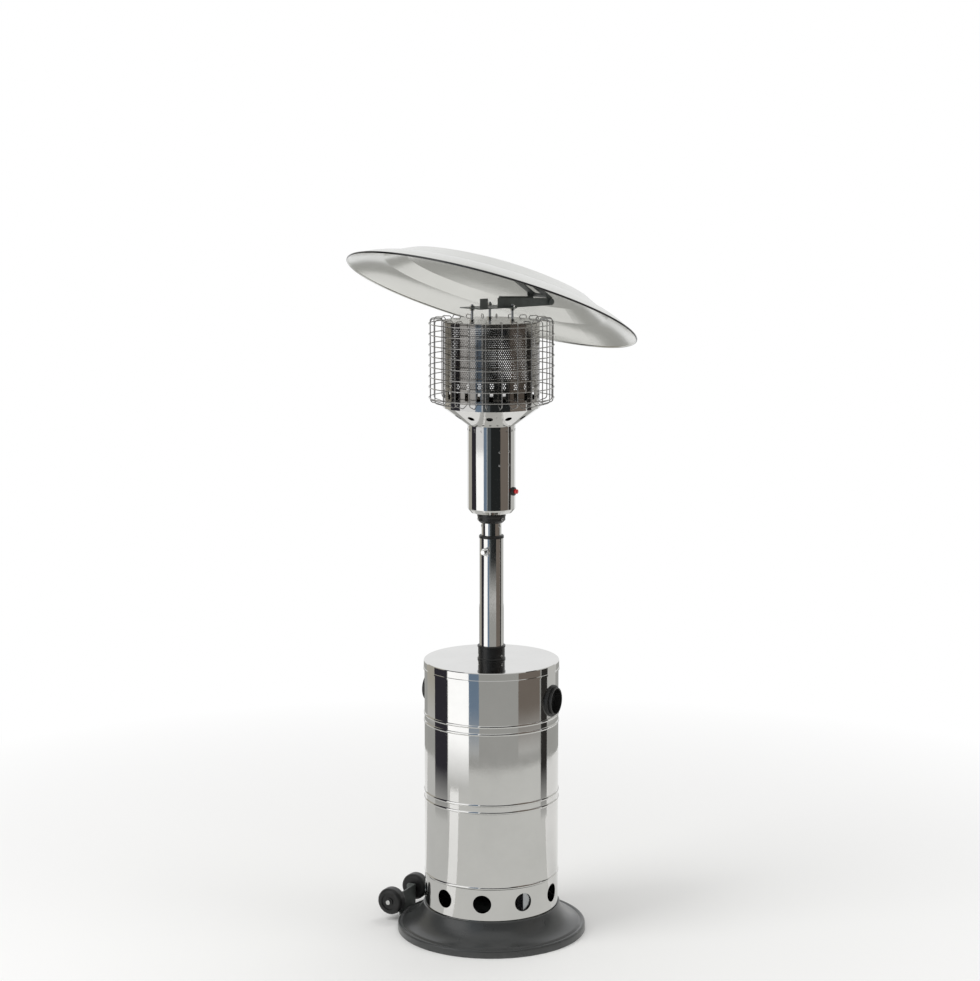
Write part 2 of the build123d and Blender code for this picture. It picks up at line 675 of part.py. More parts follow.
with BuildPart() as lock_pin_guide:
    with Locations(outward(180, PIN_Z, guide_face_r)):
        Cylinder(GUIDE_R, GUIDE_LENGTH + 4, align=HIGH)
    fillet(lock_pin_guide.edges().filter_by(GeomType.CIRCLE).sort_by(Axis.X)[0], 1.5)
    Cylinder(OUTER_R + GLUE_GAP, 3 * PIN_Z, mode=Mode.SUBTRACT)
    with Locations(outward(180, PIN_Z, OUTER_R - TUBE_WALL)):
        Cylinder(GUIDE_SPIGOT_R, TUBE_WALL + GUIDE_LENGTH / 2, align=LOW)
    with Locations(outward(180, PIN_Z)):
        Cylinder(PIN_R + SLIDE_FIT, 3 * OUTER_R, align=LOW, mode=Mode.SUBTRACT)

pin_tip_r = MIDDLE_R + PIN_TIP_GAP
pin_head_r = guide_face_r + PIN_TIP_GAP
pull_ring_r = pin_head_r + PIN_HEAD_LENGTH / 2


def pull_ring(wire_r):
    """Three-cornered wire ring that lies flat against the mast, round the pin's head."""
    ring_plane = Plane(origin=(-pull_ring_r, 0, PIN_Z), x_dir=(0, 1, 0), z_dir=(-1, 0, 0))
    with BuildPart() as ring:
        with BuildLine(ring_plane) as loop:
            FilletPolyline((5, 0), (-13, 10.5), (-13, -10.5), close=True, radius=2.5)
        with BuildSketch(Plane(origin=loop.line @ 0, z_dir=loop.line % 0)):
            Circle(wire_r)
        sweep()
    return ring.part


with BuildPart() as lock_pin:
    with Locations(outward(180, PIN_Z, pin_tip_r)):
        Cylinder(PIN_R, pin_head_r - pin_tip_r, align=LOW)
    with Locations(outward(180, PIN_Z, pin_head_r)):
        Cylinder(PIN_HEAD_R, PIN_HEAD_LENGTH, align=LOW)
    chamfer(lock_pin.edges().filter_by(GeomType.CIRCLE).sort_by(Axis.X)[0], 1)
    add(pull_ring(PULL_RING_WIRE_R + 0.1), mode=Mode.SUBTRACT)

with BuildPart() as lock_pin_ring:
    add(pull_ring(PULL_RING_WIRE_R))

# Middle mast tube with its clamp collar
middle_foot_z = mount_top_z + PIN_TIP_GAP
with BuildPart() as middle_pole:
    revolve(tube(MIDDLE_R, MIDDLE_R - TUBE_WALL, middle_foot_z, MIDDLE_TOP_Z), axis=Axis.Z)
    for height in (PIN_Z, PIN_Z - MIDDLE_STAGE_TRAVEL / 2, PIN_Z - MIDDLE_STAGE_TRAVEL):
        with Locations(outward(180, height, MIDDLE_R)):
            Cylinder(PIN_R + PIN_TIP_GAP, 5 * TUBE_WALL, mode=Mode.SUBTRACT)
    for number in range(RING_SCREW_COUNT):
        angle = RING_SCREW_ANGLE + number * 360 / RING_SCREW_COUNT
        with Locations(outward(angle, MIDDLE_TOP_Z - POLE_SCREW_BELOW_TOP, MIDDLE_R)):
            Cylinder(SMALL_SCREW_R + GLUE_GAP, 5 * TUBE_WALL, mode=Mode.SUBTRACT)

with BuildPart() as middle_pole_bush:
    bush_r = OUTER_R - TUBE_WALL - SLIDE_FIT
    revolve(tube(bush_r, MIDDLE_R + GLUE_GAP, middle_foot_z, middle_foot_z + FOOT_BUSH_HEIGHT), axis=Axis.Z)

clamp_top_z = MIDDLE_TOP_Z + CLAMP_HEIGHT
clamp_screw_z = MIDDLE_TOP_Z + CLAMP_SCREW_ABOVE
clamp_screw_r = CLAMP_FOOT_R + (CLAMP_TOP_R - CLAMP_FOOT_R) * 0.8
with BuildPart() as clamp_collar:
    clamp_section = [
        (INNER_R + SLIDE_FIT, MIDDLE_TOP_Z - CLAMP_SKIRT),
        (MIDDLE_R - TUBE_WALL - GLUE_GAP, MIDDLE_TOP_Z - CLAMP_SKIRT),
        (MIDDLE_R - TUBE_WALL - GLUE_GAP, MIDDLE_TOP_Z),
        (CLAMP_FOOT_R - 2, MIDDLE_TOP_Z),
        (CLAMP_FOOT_R, MIDDLE_TOP_Z + 2),
        (clamp_screw_r, clamp_screw_z - 4),
        (clamp_screw_r, clamp_screw_z + 4),
        (CLAMP_TOP_R, clamp_screw_z + 6),
        (CLAMP_TOP_R, clamp_top_z - 1.5),
        (CLAMP_TOP_R - 1.5, clamp_top_z),
        (INNER_R + SLIDE_FIT, clamp_top_z),
    ]
    revolve(profile(clamp_section), axis=Axis.Z)
    for number in range(RING_SCREW_COUNT):
        angle = RING_SCREW_ANGLE + number * 360 / RING_SCREW_COUNT
        with Locations(outward(angle, MIDDLE_TOP_Z - POLE_SCREW_BELOW_TOP, MIDDLE_R)):
            Cylinder(SMALL_SCREW_R + GLUE_GAP, 5 * TUBE_WALL, mode=Mode.SUBTRACT)
        with Locations(outward(angle, clamp_screw_z, INNER_R)):
            Cylinder(2 + GLUE_GAP, CLAMP_TOP_R, align=LOW, mode=Mode.SUBTRACT)

with BuildPart() as collar_screws:
    pole_screw = dome_screw(SMALL_SCREW_R, 2 * TUBE_WALL, 3, 1.8)
    for number in range(RING_SCREW_COUNT):
        angle = RING_SCREW_ANGLE + number * 360 / RING_SCREW_COUNT
        with Locations(outward(angle, MIDDLE_TOP_Z - POLE_SCREW_BELOW_TOP, MIDDLE_R)):
            add(pole_screw)

with BuildPart() as clamp_screws:
    clamp_screw = dome_screw(2, clamp_screw_r - INNER_R - PIN_TIP_GAP, 3.4, 2.4)
    for number in range(RING_SCREW_COUNT):
        angle = RING_SCREW_ANGLE + number * 360 / RING_SCREW_COUNT
        with Locations(outward(angle, clamp_screw_z, clamp_screw_r)):
            add(clamp_screw)

# Inner mast tube, which carries the head
head_foot_z = clamp_top_z + PIN_TIP_GAP
head_floor_z = head_foot_z + HEAD_WALL
head_screw_r = 0.75 * HEAD_FLANGE_R
with BuildPart() as inner_pole:
    inner_top_z = head_floor_z + HEAD_FLANGE_THICKNESS
    revolve(tube(INNER_R, INNER_R - TUBE_WALL, INNER_FOOT_Z, inner_top_z), axis=Axis.Z)
    revolve(tube(HEAD_FLANGE_R, INNER_R - TUBE_WALL, head_floor_z, inner_top_z), axis=Axis.Z)
    for number in range(HEAD_SCREW_COUNT):
        with Locations(on_circle(head_screw_r, HEAD_SCREW_ANGLE + number * 360 / HEAD_SCREW_COUNT, head_floor_z)):
            Cylinder(HEAD_SCREW_R + HOLE_GAP, 3 * HEAD_FLANGE_THICKNESS, mode=Mode.SUBTRACT)

with BuildPart() as inner_pole_bush:
    bush_r = MIDDLE_R - TUBE_WALL - SLIDE_FIT
    revolve(tube(bush_r, INNER_R + GLUE_GAP, INNER_FOOT_Z, INNER_FOOT_Z + INNER_BUSH_HEIGHT), axis=Axis.Z)

with BuildPart() as head_screws:
    head_screw = dome_screw(HEAD_SCREW_R, HEAD_FLANGE_THICKNESS + HEAD_WALL, 2 * HEAD_SCREW_R, 3)
    for number in range(HEAD_SCREW_COUNT):
        with Locations(on_circle(head_screw_r, HEAD_SCREW_ANGLE + number * 360 / HEAD_SCREW_COUNT, inner_top_z)):
            add(head_screw)

stem_z = ARM_Z - SEAT_GAP - VALVE_HEIGHT + STEM_ABOVE_VALVE_FOOT
rivet_angles = (BRACKET_ANGLE - RIVET_SPAN / 2, BRACKET_ANGLE + RIVET_SPAN / 2)
rivet_spots = [(angle, height) for angle in rivet_angles for height in (RIVET_LOW_Z, RIVET_HIGH_Z)]
with BuildPart() as head_housing:
    can_section = [
        (INNER_R + HOLE_GAP, head_foot_z),
        (HEAD_FOOT_R, head_foot_z),
        (HEAD_R - 2.5, head_foot_z + HEAD_FOOT_RISE - 4),
        (HEAD_R, head_foot_z + HEAD_FOOT_RISE),
        (HEAD_R, HEAD_TOP_Z),
        (HEAD_R - HEAD_WALL, HEAD_TOP_Z),
        (HEAD_R - HEAD_WALL, head_foot_z + HEAD_FOOT_RISE + 0.3),
        (HEAD_R - 2.5 - HEAD_WALL, head_foot_z + HEAD_FOOT_RISE - 3.4),
        (HEAD_FOOT_R - 0.5, head_floor_z),
        (INNER_R + HOLE_GAP, head_floor_z),
    ]
    revolve(profile(can_section), axis=Axis.Z)
    for number in range(HEAD_SCREW_COUNT):
        with Locations(on_circle(head_screw_r, HEAD_SCREW_ANGLE + number * 360 / HEAD_SCREW_COUNT, head_foot_z)):
            Cylinder(HEAD_SCREW_R + HOLE_GAP, 4 * HEAD_WALL, mode=Mode.SUBTRACT)
    for number in range(AIR_HOLE_COUNT):
        angle = BOWL_HOLE_ANGLE + number * 360 / AIR_HOLE_COUNT
        with Locations(outward(angle, HEAD_TOP_Z - AIR_HOLE_BELOW_TOP, HEAD_R)):
            Cylinder(AIR_HOLE_R, 5, mode=Mode.SUBTRACT)
    with Locations(outward(-90, IGNITER_Z, HEAD_R)):
        Cylinder(IGNITER_BARREL_R + HOLE_GAP, 10, mode=Mode.SUBTRACT)
    with Locations(outward(0, stem_z, HEAD_R)):
        Cylinder(2 * STEM_R, 10, mode=Mode.SUBTRACT)
    for angle, height in rivet_spots:
        with Locations(outward(angle, height, HEAD_R)):
            Cylinder(RIVET_R + GLUE_GAP, 10, mode=Mode.SUBTRACT)

# Gas train inside the head
pad_outer_r = HEAD_R - HEAD_WALL - SEAT_GAP
pad_inner_r = pad_outer_r - BRACKET_SHEET
with BuildPart() as valve_bracket:
    with BuildSketch(Plane.XY.offset(ARM_Z)):
        with BuildLine():
            outer_arc = CenterArc((0, 0), pad_outer_r, BRACKET_ANGLE - BRACKET_SPAN / 2, BRACKET_SPAN)
            inner_arc = CenterArc((0, 0), pad_inner_r, BRACKET_ANGLE - BRACKET_SPAN / 2, BRACKET_SPAN)
            Line(outer_arc @ 0, inner_arc @ 0)
            Line(outer_arc @ 1, inner_arc @ 1)
        make_face()
    extrude(amount=RIVET_HIGH_Z + 7 - ARM_Z)
    arm_plane = Plane(origin=(0, 0, ARM_Z), x_dir=on_circle(1.0, BRACKET_ANGLE), z_dir=(0, 0, 1))
    with BuildSketch(arm_plane):
        with Locations(((pad_inner_r - ARM_REACH) / 2 - 2, 0)):
            Rectangle(pad_inner_r + ARM_REACH - 3, ARM_WIDTH)
        with Locations((pad_inner_r - 3, 0)):
            Rectangle(6.5, 0.6 * ARM_WIDTH)
        Circle(STEM_R + 2 + HOLE_GAP, mode=Mode.SUBTRACT)
    extrude(amount=BRACKET_SHEET)
    for angle, height in rivet_spots:
        with Locations(outward(angle, height, HEAD_R)):
            Cylinder(RIVET_R + GLUE_GAP, 10, mode=Mode.SUBTRACT)

with BuildPart() as bracket_rivets:
    rivet = dome_screw(RIVET_R, HEAD_WALL + SEAT_GAP + BRACKET_SHEET + 1, RIVET_HEAD_R, 1.3)
    for angle, height in rivet_spots:
        with Locations(outward(angle, height, HEAD_R)):
            add(rivet)

valve_top_z = ARM_Z - SEAT_GAP
valve_foot_z = valve_top_z - VALVE_HEIGHT
neck_top_z = ARM_Z + BRACKET_SHEET + 2
with BuildPart() as valve_body:
    with Locations((0, 0, valve_foot_z)):
        Box(VALVE_WIDTH, VALVE_DEPTH, VALVE_HEIGHT, align=LOW)
    chamfer(valve_body.edges().filter_by(Axis.Z), 4)
    with Locations((0, 0, valve_top_z)):
        Cylinder(STEM_R + 2, neck_top_z - valve_top_z, align=LOW)
    with Locations(outward(0, stem_z, VALVE_WIDTH / 2)):
        Cylinder(2.5 * STEM_R, 5, align=LOW)
    with Locations(outward(0, stem_z, VALVE_WIDTH / 4)):
        Cylinder(STEM_R + SLIDE_FIT, VALVE_WIDTH, align=LOW, mode=Mode.SUBTRACT)

with BuildPart() as gas_inlet:
    with Locations((0, 0, valve_foot_z)):
        Cylinder(HOSE_TAIL_R, INLET_HEIGHT + HOSE_TAIL_LENGTH, align=HIGH)
    with BuildSketch(Plane.XY.offset(valve_foot_z - INLET_HEIGHT)):
        RegularPolygon(INLET_ACROSS / 2, 6, major_radius=False)
    extrude(amount=INLET_HEIGHT)
    for drop in (4, 9, 14, 19):
        with Locations((0, 0, valve_foot_z - INLET_HEIGHT - drop)):
            Cone(HOSE_TAIL_R, HOSE_TAIL_R + 1, 3.5, align=LOW)
    with Locations((0, 0, valve_foot_z - INLET_HEIGHT - HOSE_TAIL_LENGTH)):
        Cylinder(HOSE_TAIL_R - 2, HOSE_TAIL_LENGTH, align=LOW, mode=Mode.SUBTRACT)

with BuildPart() as injector:
    with BuildSketch(Plane.XY.offset(neck_top_z)):
        RegularPolygon(INJECTOR_ACROSS / 2, 6, major_radius=False)
    extrude(amount=INJECTOR_HEIGHT)
    with Locations((0, 0, neck_top_z + INJECTOR_HEIGHT)):
        Cone(NOZZLE_R + 1, NOZZLE_R - 1, NOZZLE_HEIGHT, align=LOW)
    with Locations((0, 0, neck_top_z)):
        Cylinder(1.0, 2 * (INJECTOR_HEIGHT + NOZZLE_HEIGHT), mode=Mode.SUBTRACT)

with BuildPart() as valve_stem:
    with Locations(outward(0, stem_z, VALVE_WIDTH / 4 + SEAT_GAP)):
        Cylinder(STEM_R, HEAD_R + BEZEL_PROUD + KNOB_LENGTH / 2 - VALVE_WIDTH / 4, align=LOW)

with BuildPart() as knob_bezel:
    with Locations(outward(0, stem_z, HEAD_R + BEZEL_PROUD)):
        Cylinder(BEZEL_R, 4 * BEZEL_PROUD, align=HIGH)
    fillet(knob_bezel.edges().filter_by(GeomType.CIRCLE).sort_by(Axis.X)[-1], 1.2)
    Cylinder(HEAD_R + GLUE_GAP, 3 * HEAD_TOP_Z, mode=Mode.SUBTRACT)
    with Locations(outward(0, stem_z, HEAD_R)):
        Cylinder(1.5 * STEM_R, 6 * BEZEL_PROUD, mode=Mode.SUBTRACT)

knob_face_x = HEAD_R + BEZEL_PROUD + PIN_TIP_GAP
with BuildPart(outward(0, stem_z, knob_face_x)) as control_knob:
    Cylinder(KNOB_R, KNOB_LENGTH, align=LOW)
    with PolarLocations(KNOB_R + 1.6, 12):
        Cylinder(3, 3 * KNOB_LENGTH, mode=Mode.SUBTRACT)
    with Locations((0, 0, KNOB_LENGTH - 3)):
        Cylinder(KNOB_FACE_R, 4, align=LOW, mode=Mode.SUBTRACT)
        Box(2 * KNOB_FACE_R - 2, 5, 4, align=LOW)
    Cylinder(STEM_R + GLUE_GAP, 2 * (KNOB_LENGTH / 2 + 0.5), mode=Mode.SUBTRACT)

# Piezo igniter behind its push button
igniter_face_r = HEAD_R + IGNITER_PROUD
button_back_r = igniter_face_r + BUTTON_PROUD - BUTTON_LENGTH
with BuildPart() as igniter_body:
    with Locations(outward(-90, IGNITER_Z, igniter_face_r)):
        Cylinder(IGNITER_BEZEL_R, 3 * IGNITER_PROUD, align=HIGH)
    fillet(igniter_body.edges().filter_by(GeomType.CIRCLE).sort_by(Axis.Y)[0], 2)
    Cylinder(HEAD_R + GLUE_GAP, 3 * HEAD_TOP_Z, mode=Mode.SUBTRACT)
    with Locations(outward(-90, IGNITER_Z, IGNITER_BARREL_END)):
        Cylinder(IGNITER_BARREL_R, igniter_face_r - IGNITER_BARREL_END - 1, align=LOW)
    with Locations(outward(-90, IGNITER_Z, button_back_r - BUTTON_TRAVEL - 1)):
        Cylinder(BUTTON_R + SLIDE_FIT, 2 * BUTTON_LENGTH, align=LOW, mode=Mode.SUBTRACT)

with BuildPart() as igniter_button:
    with Locations(outward(-90, IGNITER_Z, button_back_r)):
        Cylinder(BUTTON_R, BUTTON_LENGTH, align=LOW)
    fillet(igniter_button.edges().filter_by(GeomType.CIRCLE).sort_by(Axis.Y)[0], 2)

# Burner bowl, from the head's neck out to the emitter
neck_r = HEAD_R - HEAD_WALL - BOWL_NECK_GAP
neck_foot_z = BOWL_NECK_TOP_Z - BOWL_NECK_DEPTH
cone_lean = (BOWL_R - HEAD_R) / (BOWL_CONE_TOP_Z - BOWL_NECK_TOP_Z)
hole_z = BOWL_NECK_TOP_Z + (BOWL_HOLE_RING_R - HEAD_R) / cone_lean
with BuildPart() as burner_bowl:
    bowl_section = [
        (neck_r - BOWL_SHEET, neck_foot_z),
        (neck_r, neck_foot_z),
        (neck_r, HEAD_TOP_Z + SEAT_GAP),
        (HEAD_R, HEAD_TOP_Z + SEAT_GAP),
        (HEAD_R, BOWL_NECK_TOP_Z),
        (BOWL_R, BOWL_CONE_TOP_Z),
        (BOWL_R, BOWL_RIM_TOP_Z),
        (BOWL_R - BOWL_SHEET, BOWL_RIM_TOP_Z),
        (BOWL_R - BOWL_SHEET, BOWL_CONE_TOP_Z + 0.6),
        (neck_r - BOWL_SHEET, BOWL_NECK_TOP_Z + 0.6),
    ]
    revolve(profile(bowl_section), axis=Axis.Z)
    for number in range(BOWL_HOLE_COUNT):
        angle = BOWL_HOLE_ANGLE + number * 360 / BOWL_HOLE_COUNT
        slant = Plane(
            origin=on_circle(BOWL_HOLE_RING_R, angle, hole_z),
            x_dir=(-sin(radians(angle)), cos(radians(angle)), 0),
            z_dir=(cos(radians(angle)), sin(radians(angle)), -cone_lean),
        )
        with Locations(slant):
            Cylinder(BOWL_HOLE_R, 8 * BOWL_SHEET, mode=Mode.SUBTRACT)

burner_plate_r = BOWL_R - BOWL_SHEET - PLATE_EDGE_GAP
burner_plate_z = BOWL_CONE_TOP_Z + 1.2
burner_floor_z = burner_plate_z + BOWL_SHEET
with BuildPart() as burner_plate:
    revolve(tube(burner_plate_r, MIXER_R + HOLE_GAP, burner_plate_z, burner_floor_z), axis=Axis.Z)
    with Locations((PILOT_R, 0, burner_plate_z)):
        Cylinder(5 + HOLE_GAP, 4, mode=Mode.SUBTRACT)
    with Locations((PILOT_R, PILOT_SPACING, burner_plate_z), (PILOT_R, -PILOT_SPACING, burner_plate_z)):
        Cylinder(PILOT_TUBE_R + HOLE_GAP, 4, mode=Mode.SUBTRACT)

with BuildPart() as mixer_tube:
    mixer_section = [
        (MIXER_FLARE_R - MIXER_WALL, MIXER_FOOT_Z),
        (MIXER_FLARE_R, MIXER_FOOT_Z),
        (MIXER_R, MIXER_FOOT_Z + 18),
        (MIXER_R, burner_floor_z + 6),
        (MIXER_R - MIXER_WALL, burner_floor_z + 6),
        (MIXER_R - MIXER_WALL, MIXER_FOOT_Z + 18.5),
    ]
    revolve(profile(mixer_section), axis=Axis.Z)

burner_top_z = burner_floor_z + BURNER_HEIGHT
with BuildPart() as burner_head:
    burner_section = [
        (MIXER_R + GLUE_GAP, burner_floor_z),
        (BURNER_R, burner_floor_z),
        (BURNER_R, burner_top_z - 6),
        (BURNER_R - 6, burner_top_z),
        (0, burner_top_z),
        (0, burner_top_z - 2),
        (BURNER_R - 7, burner_top_z - 2),
        (BURNER_R - 2, burner_top_z - 7),
        (BURNER_R - 2, burner_floor_z + 2),
        (MIXER_R + 2, burner_floor_z + 2),
        (MIXER_R + 2, burner_floor_z + 7),
        (MIXER_R + GLUE_GAP, burner_floor_z + 7),
    ]
    revolve(profile(burner_section), axis=Axis.Z)
    for number in range(BURNER_PORT_COUNT):
        with Locations(outward(number * 360 / BURNER_PORT_COUNT, burner_floor_z + 11, BURNER_R)):
            Cylinder(PORT_R, 8, mode=Mode.SUBTRACT)

pilot_foot_z = burner_plate_z - 22
with BuildPart() as pilot_burner:
    with Locations((PILOT_R, 0, pilot_foot_z)):
        Cylinder(5, burner_top_z - pilot_foot_z, align=LOW)
        Cylinder(2, 2 * (burner_top_z - pilot_foot_z), mode=Mode.SUBTRACT)
    with Locations((PILOT_R, 0, burner_floor_z)):
        Cylinder(8, 3, align=LOW)
        Cylinder(2, 8, mode=Mode.SUBTRACT)

with BuildPart() as thermocouple:
    with Locations((PILOT_R, PILOT_SPACING, pilot_foot_z)):
        Cylinder(PILOT_TUBE_R, burner_floor_z + 16 - pilot_foot_z, align=LOW)
    with Locations((PILOT_R, PILOT_SPACING, burner_floor_z)):
        Cylinder(4.5, 3, align=LOW)

with BuildPart() as spark_electrode:
    with Locations((PILOT_R, -PILOT_SPACING, pilot_foot_z)):
        Cylinder(PILOT_TUBE_R, burner_floor_z + 10 - pilot_foot_z, align=LOW)
        Cylinder(0.9, burner_top_z - 4 - pilot_foot_z, align=LOW)
    with Locations((PILOT_R, -PILOT_SPACING, burner_floor_z)):
        Cylinder(4.5, 3, align=LOW)

# Emitter: a thin cylinder that glows, with slots at its foot, under a flat cap
screen_foot_z = burner_floor_z
screen_top_z = CAP_TOP_Z - CAP_SHEET - SEAT_GAP
with BuildPart() as emitter_screen:
    revolve(tube(EMITTER_R, EMITTER_R - EMITTER_WALL, screen_foot_z, screen_top_z), axis=Axis.Z)
    for number in range(SLOT_COUNT):
        slot_plane = outward(SLOT_ANGLE + number * 360 / SLOT_COUNT, (SLOT_LOW_Z + SLOT_HIGH_Z) / 2, EMITTER_R)
        with Locations(slot_plane):
            Box(SLOT_HIGH_Z - SLOT_LOW_Z, SLOT_WIDTH, 6, mode=Mode.SUBTRACT)

cap_inner_r = EMITTER_R + SEAT_GAP
cap_outer_r = cap_inner_r + CAP_SHEET
stud_spots = [(STUD_RING_R, STUD_ANGLE + number * 360 / STUD_COUNT) for number in range(STUD_COUNT)]
with BuildPart() as emitter_cap:
    cap_section = [
        (0, CAP_TOP_Z - CAP_SHEET),
        (cap_inner_r, CAP_TOP_Z - CAP_SHEET),
        (cap_inner_r, CAP_TOP_Z - CAP_SKIRT),
        (cap_outer_r, CAP_TOP_Z - CAP_SKIRT),
        (cap_outer_r, CAP_TOP_Z - 1),
        (cap_outer_r - 1, CAP_TOP_Z),
        (0, CAP_TOP_Z),
    ]
    revolve(profile(cap_section), axis=Axis.Z)
    for radius, angle in stud_spots:
        with Locations(on_circle(radius, angle, CAP_TOP_Z)):
            Cylinder(STUD_R + GLUE_GAP, 4 * CAP_SHEET, mode=Mode.SUBTRACT)

# Guard cage: bent wires from cap to bowl, with hoops round the outside
with BuildPart() as single_wire:
    wire_plane = Plane(origin=(0, 0, 0), x_dir=on_circle(1.0, UPRIGHT_ANGLE),
                       z_dir=on_circle(-1.0, UPRIGHT_ANGLE + 90))
    with BuildLine(wire_plane) as wire_path:
        FilletPolyline(
            (cap_outer_r + SEAT_GAP, SPOKE_TOP_Z - 6),
            (cap_outer_r + 5, SPOKE_TOP_Z),
            (CAGE_R, SPOKE_TOP_Z),
            (CAGE_R, CAGE_FOOT_Z),
            (BOWL_R + 3 * SEAT_GAP, SPOKE_FOOT_Z),
            radius=[3, CAGE_BEND_R, CAGE_BEND_R],
        )
    with BuildSketch(Plane(origin=wire_path.line @ 0, z_dir=wire_path.line % 0)):
        Circle(WIRE_R)
    sweep()

with BuildPart() as cage_uprights:
    with PolarLocations(0, UPRIGHT_COUNT):
        add(single_wire.part)

with BuildPart() as cage_rings:
    for number in range(RING_COUNT):
        with Locations((0, 0, RING_LOW_Z + number * RING_PITCH)):
            Torus(CAGE_R + 2 * WIRE_R + GLUE_GAP, WIRE_R)

# Studs that lift the hinge tray off the cap
with BuildPart() as bracket_studs:
    stud_foot_z = CAP_TOP_Z - CAP_SHEET - 4
    stud_top_z = TRAY_Z + TRAY_SHEET + NUT_HEIGHT + 3
    for radius, angle in stud_spots:
        with Locations(on_circle(radius, angle, stud_foot_z)):
            Cylinder(STUD_R, stud_top_z - stud_foot_z, align=LOW)

with BuildPart() as stud_nuts:
    stud_nut = hex_nut(STUD_R + GLUE_GAP, NUT_ACROSS, NUT_HEIGHT)
    for radius, angle in stud_spots:
        for height in (CAP_TOP_Z, TRAY_Z - NUT_HEIGHT, TRAY_Z + TRAY_SHEET):
            with Locations(on_circle(radius, angle, height)):
                add(stud_nut)

# Hinge tray: its length runs along the heading in which the reflector tips
head_x = on_circle(1.0, HEADING)
across = on_circle(1.0, HEADING + 90)
tray_top = Plane(origin=(0, 0, TRAY_Z), x_dir=head_x, z_dir=(0, 0, 1))
hinge_side = Plane(origin=(0, 0, 0), x_dir=head_x, z_dir=on_circle(-1.0, HEADING + 90))
stud_marks = [on_circle(radius, angle - HEADING)[:2] for radius, angle in stud_spots]
pivot_point = (PIVOT_REACH * head_x[0], PIVOT_REACH * head_x[1], PIVOT_Z)
with BuildPart() as hinge_tray:
    with BuildSketch(tray_top):
        with Locations(((TRAY_BACK + TRAY_END) / 2, 0)):
            Rectangle(TRAY_END - TRAY_BACK, 2 * TRAY_HALF)
        for mark in stud_marks:
            with Locations(mark):
                Circle(TRAY_EAR_R)
            with Locations((mark[0], mark[1] / 2)):
                Rectangle(2 * TRAY_EAR_R, abs(mark[1]))
        for mark in stud_marks:
            with Locations(mark):
                Circle(STUD_R + HOLE_GAP, mode=Mode.SUBTRACT)
    extrude(amount=TRAY_SHEET)
    flange_nose = [
        (PIVOT_REACH, TRAY_Z + FLANGE_LOW),
        (PIVOT_REACH + LUG_R, TRAY_Z + FLANGE_LOW - FLANGE_CORNER),
        (PIVOT_REACH + LUG_R, TRAY_Z + FLANGE_CORNER),
        (PIVOT_REACH + LUG_R - FLANGE_CORNER, TRAY_Z),
    ]
    near_side = [(NOTCH_END, TRAY_Z), (NOTCH_END, TRAY_Z + FLANGE_HIGH)] + flange_nose
    far_side = [(FAR_FLANGE_START, TRAY_Z), (FAR_FLANGE_START, TRAY_Z + FAR_FLANGE_HIGH)] + flange_nose
    tab_side = [
        (TRAY_BACK, TRAY_Z),
        (TRAY_BACK, TRAY_Z + FLANGE_HIGH),
        (TAB_END, TRAY_Z + FLANGE_HIGH),
        (TAB_END, TRAY_Z),
    ]
    near_plane = hinge_side.offset(TRAY_HALF - TRAY_SHEET / 2)
    far_plane = hinge_side.offset(TRAY_SHEET / 2 - TRAY_HALF)
    extrude(profile(near_side, near_plane), amount=TRAY_SHEET / 2, both=True)
    extrude(profile(tab_side, near_plane), amount=TRAY_SHEET / 2, both=True)
    extrude(profile(far_side, far_plane), amount=TRAY_SHEET / 2, both=True)
    with Locations(Plane(pivot_point, z_dir=across)):
        Cylinder(PIVOT_PIN_R + GLUE_GAP, 4 * TRAY_HALF, mode=Mode.SUBTRACT)

with BuildPart() as hinge_pin:
    with Locations(Plane(pivot_point, z_dir=across)):
        Cylinder(PIVOT_PIN_R, 2 * (TRAY_HALF + 5))
    for side in (-1, 1):
        head_plane = Plane(
            (pivot_point[0] + side * across[0] * (TRAY_HALF + 0.1),
             pivot_point[1] + side * across[1] * (TRAY_HALF + 0.1),
             PIVOT_Z),
            z_dir=(side * across[0], side * across[1], 0),
        )
        with Locations(head_plane):
            Cylinder(PIVOT_HEAD_R, 5, align=LOW)

# Reflector, drawn about its own axis and tipped down along the heading
dish_x = (head_x[0] * cos(radians(TILT)), head_x[1] * cos(radians(TILT)), -sin(radians(TILT)))
dish_up = (head_x[0] * sin(radians(TILT)), head_x[1] * sin(radians(TILT)), cos(radians(TILT)))
rim_centre = (0, 0, RIM_CENTRE_Z)
dish_side = Plane(origin=rim_centre, x_dir=dish_x, z_dir=hinge_side.z_dir)
dish_axis = Axis(rim_centre, dish_up)
crown_drop = CROWN_H - CROWN_EDGE_H
crown_ball_r = (STEP_INNER_R ** 2 + crown_drop ** 2) / (2 * crown_drop)


def crown_height(radius):
    """Height of the crown's underside over the rim plane."""
    return CROWN_H - crown_ball_r + sqrt(crown_ball_r ** 2 - radius ** 2)


def dish_line(lift):
    """Half section of the reflector, raised by a distance along its axis."""
    half = STEP_INNER_R / 2
    crown = ThreePointArc((0, CROWN_H + lift), (half, crown_height(half) + lift),
                          (STEP_INNER_R, CROWN_EDGE_H + lift))
    step = Line(crown @ 1, (STEP_OUTER_R, STEP_OUTER_H + lift))
    middle_r = (STEP_OUTER_R + REFLECTOR_R) / 2
    rim = ThreePointArc(step @ 1, (middle_r, STEP_OUTER_H / 2 + OUTER_BULGE + lift),
                        (REFLECTOR_R - RIM_BEAD_R, lift))
    return crown @ 0, rim @ 1


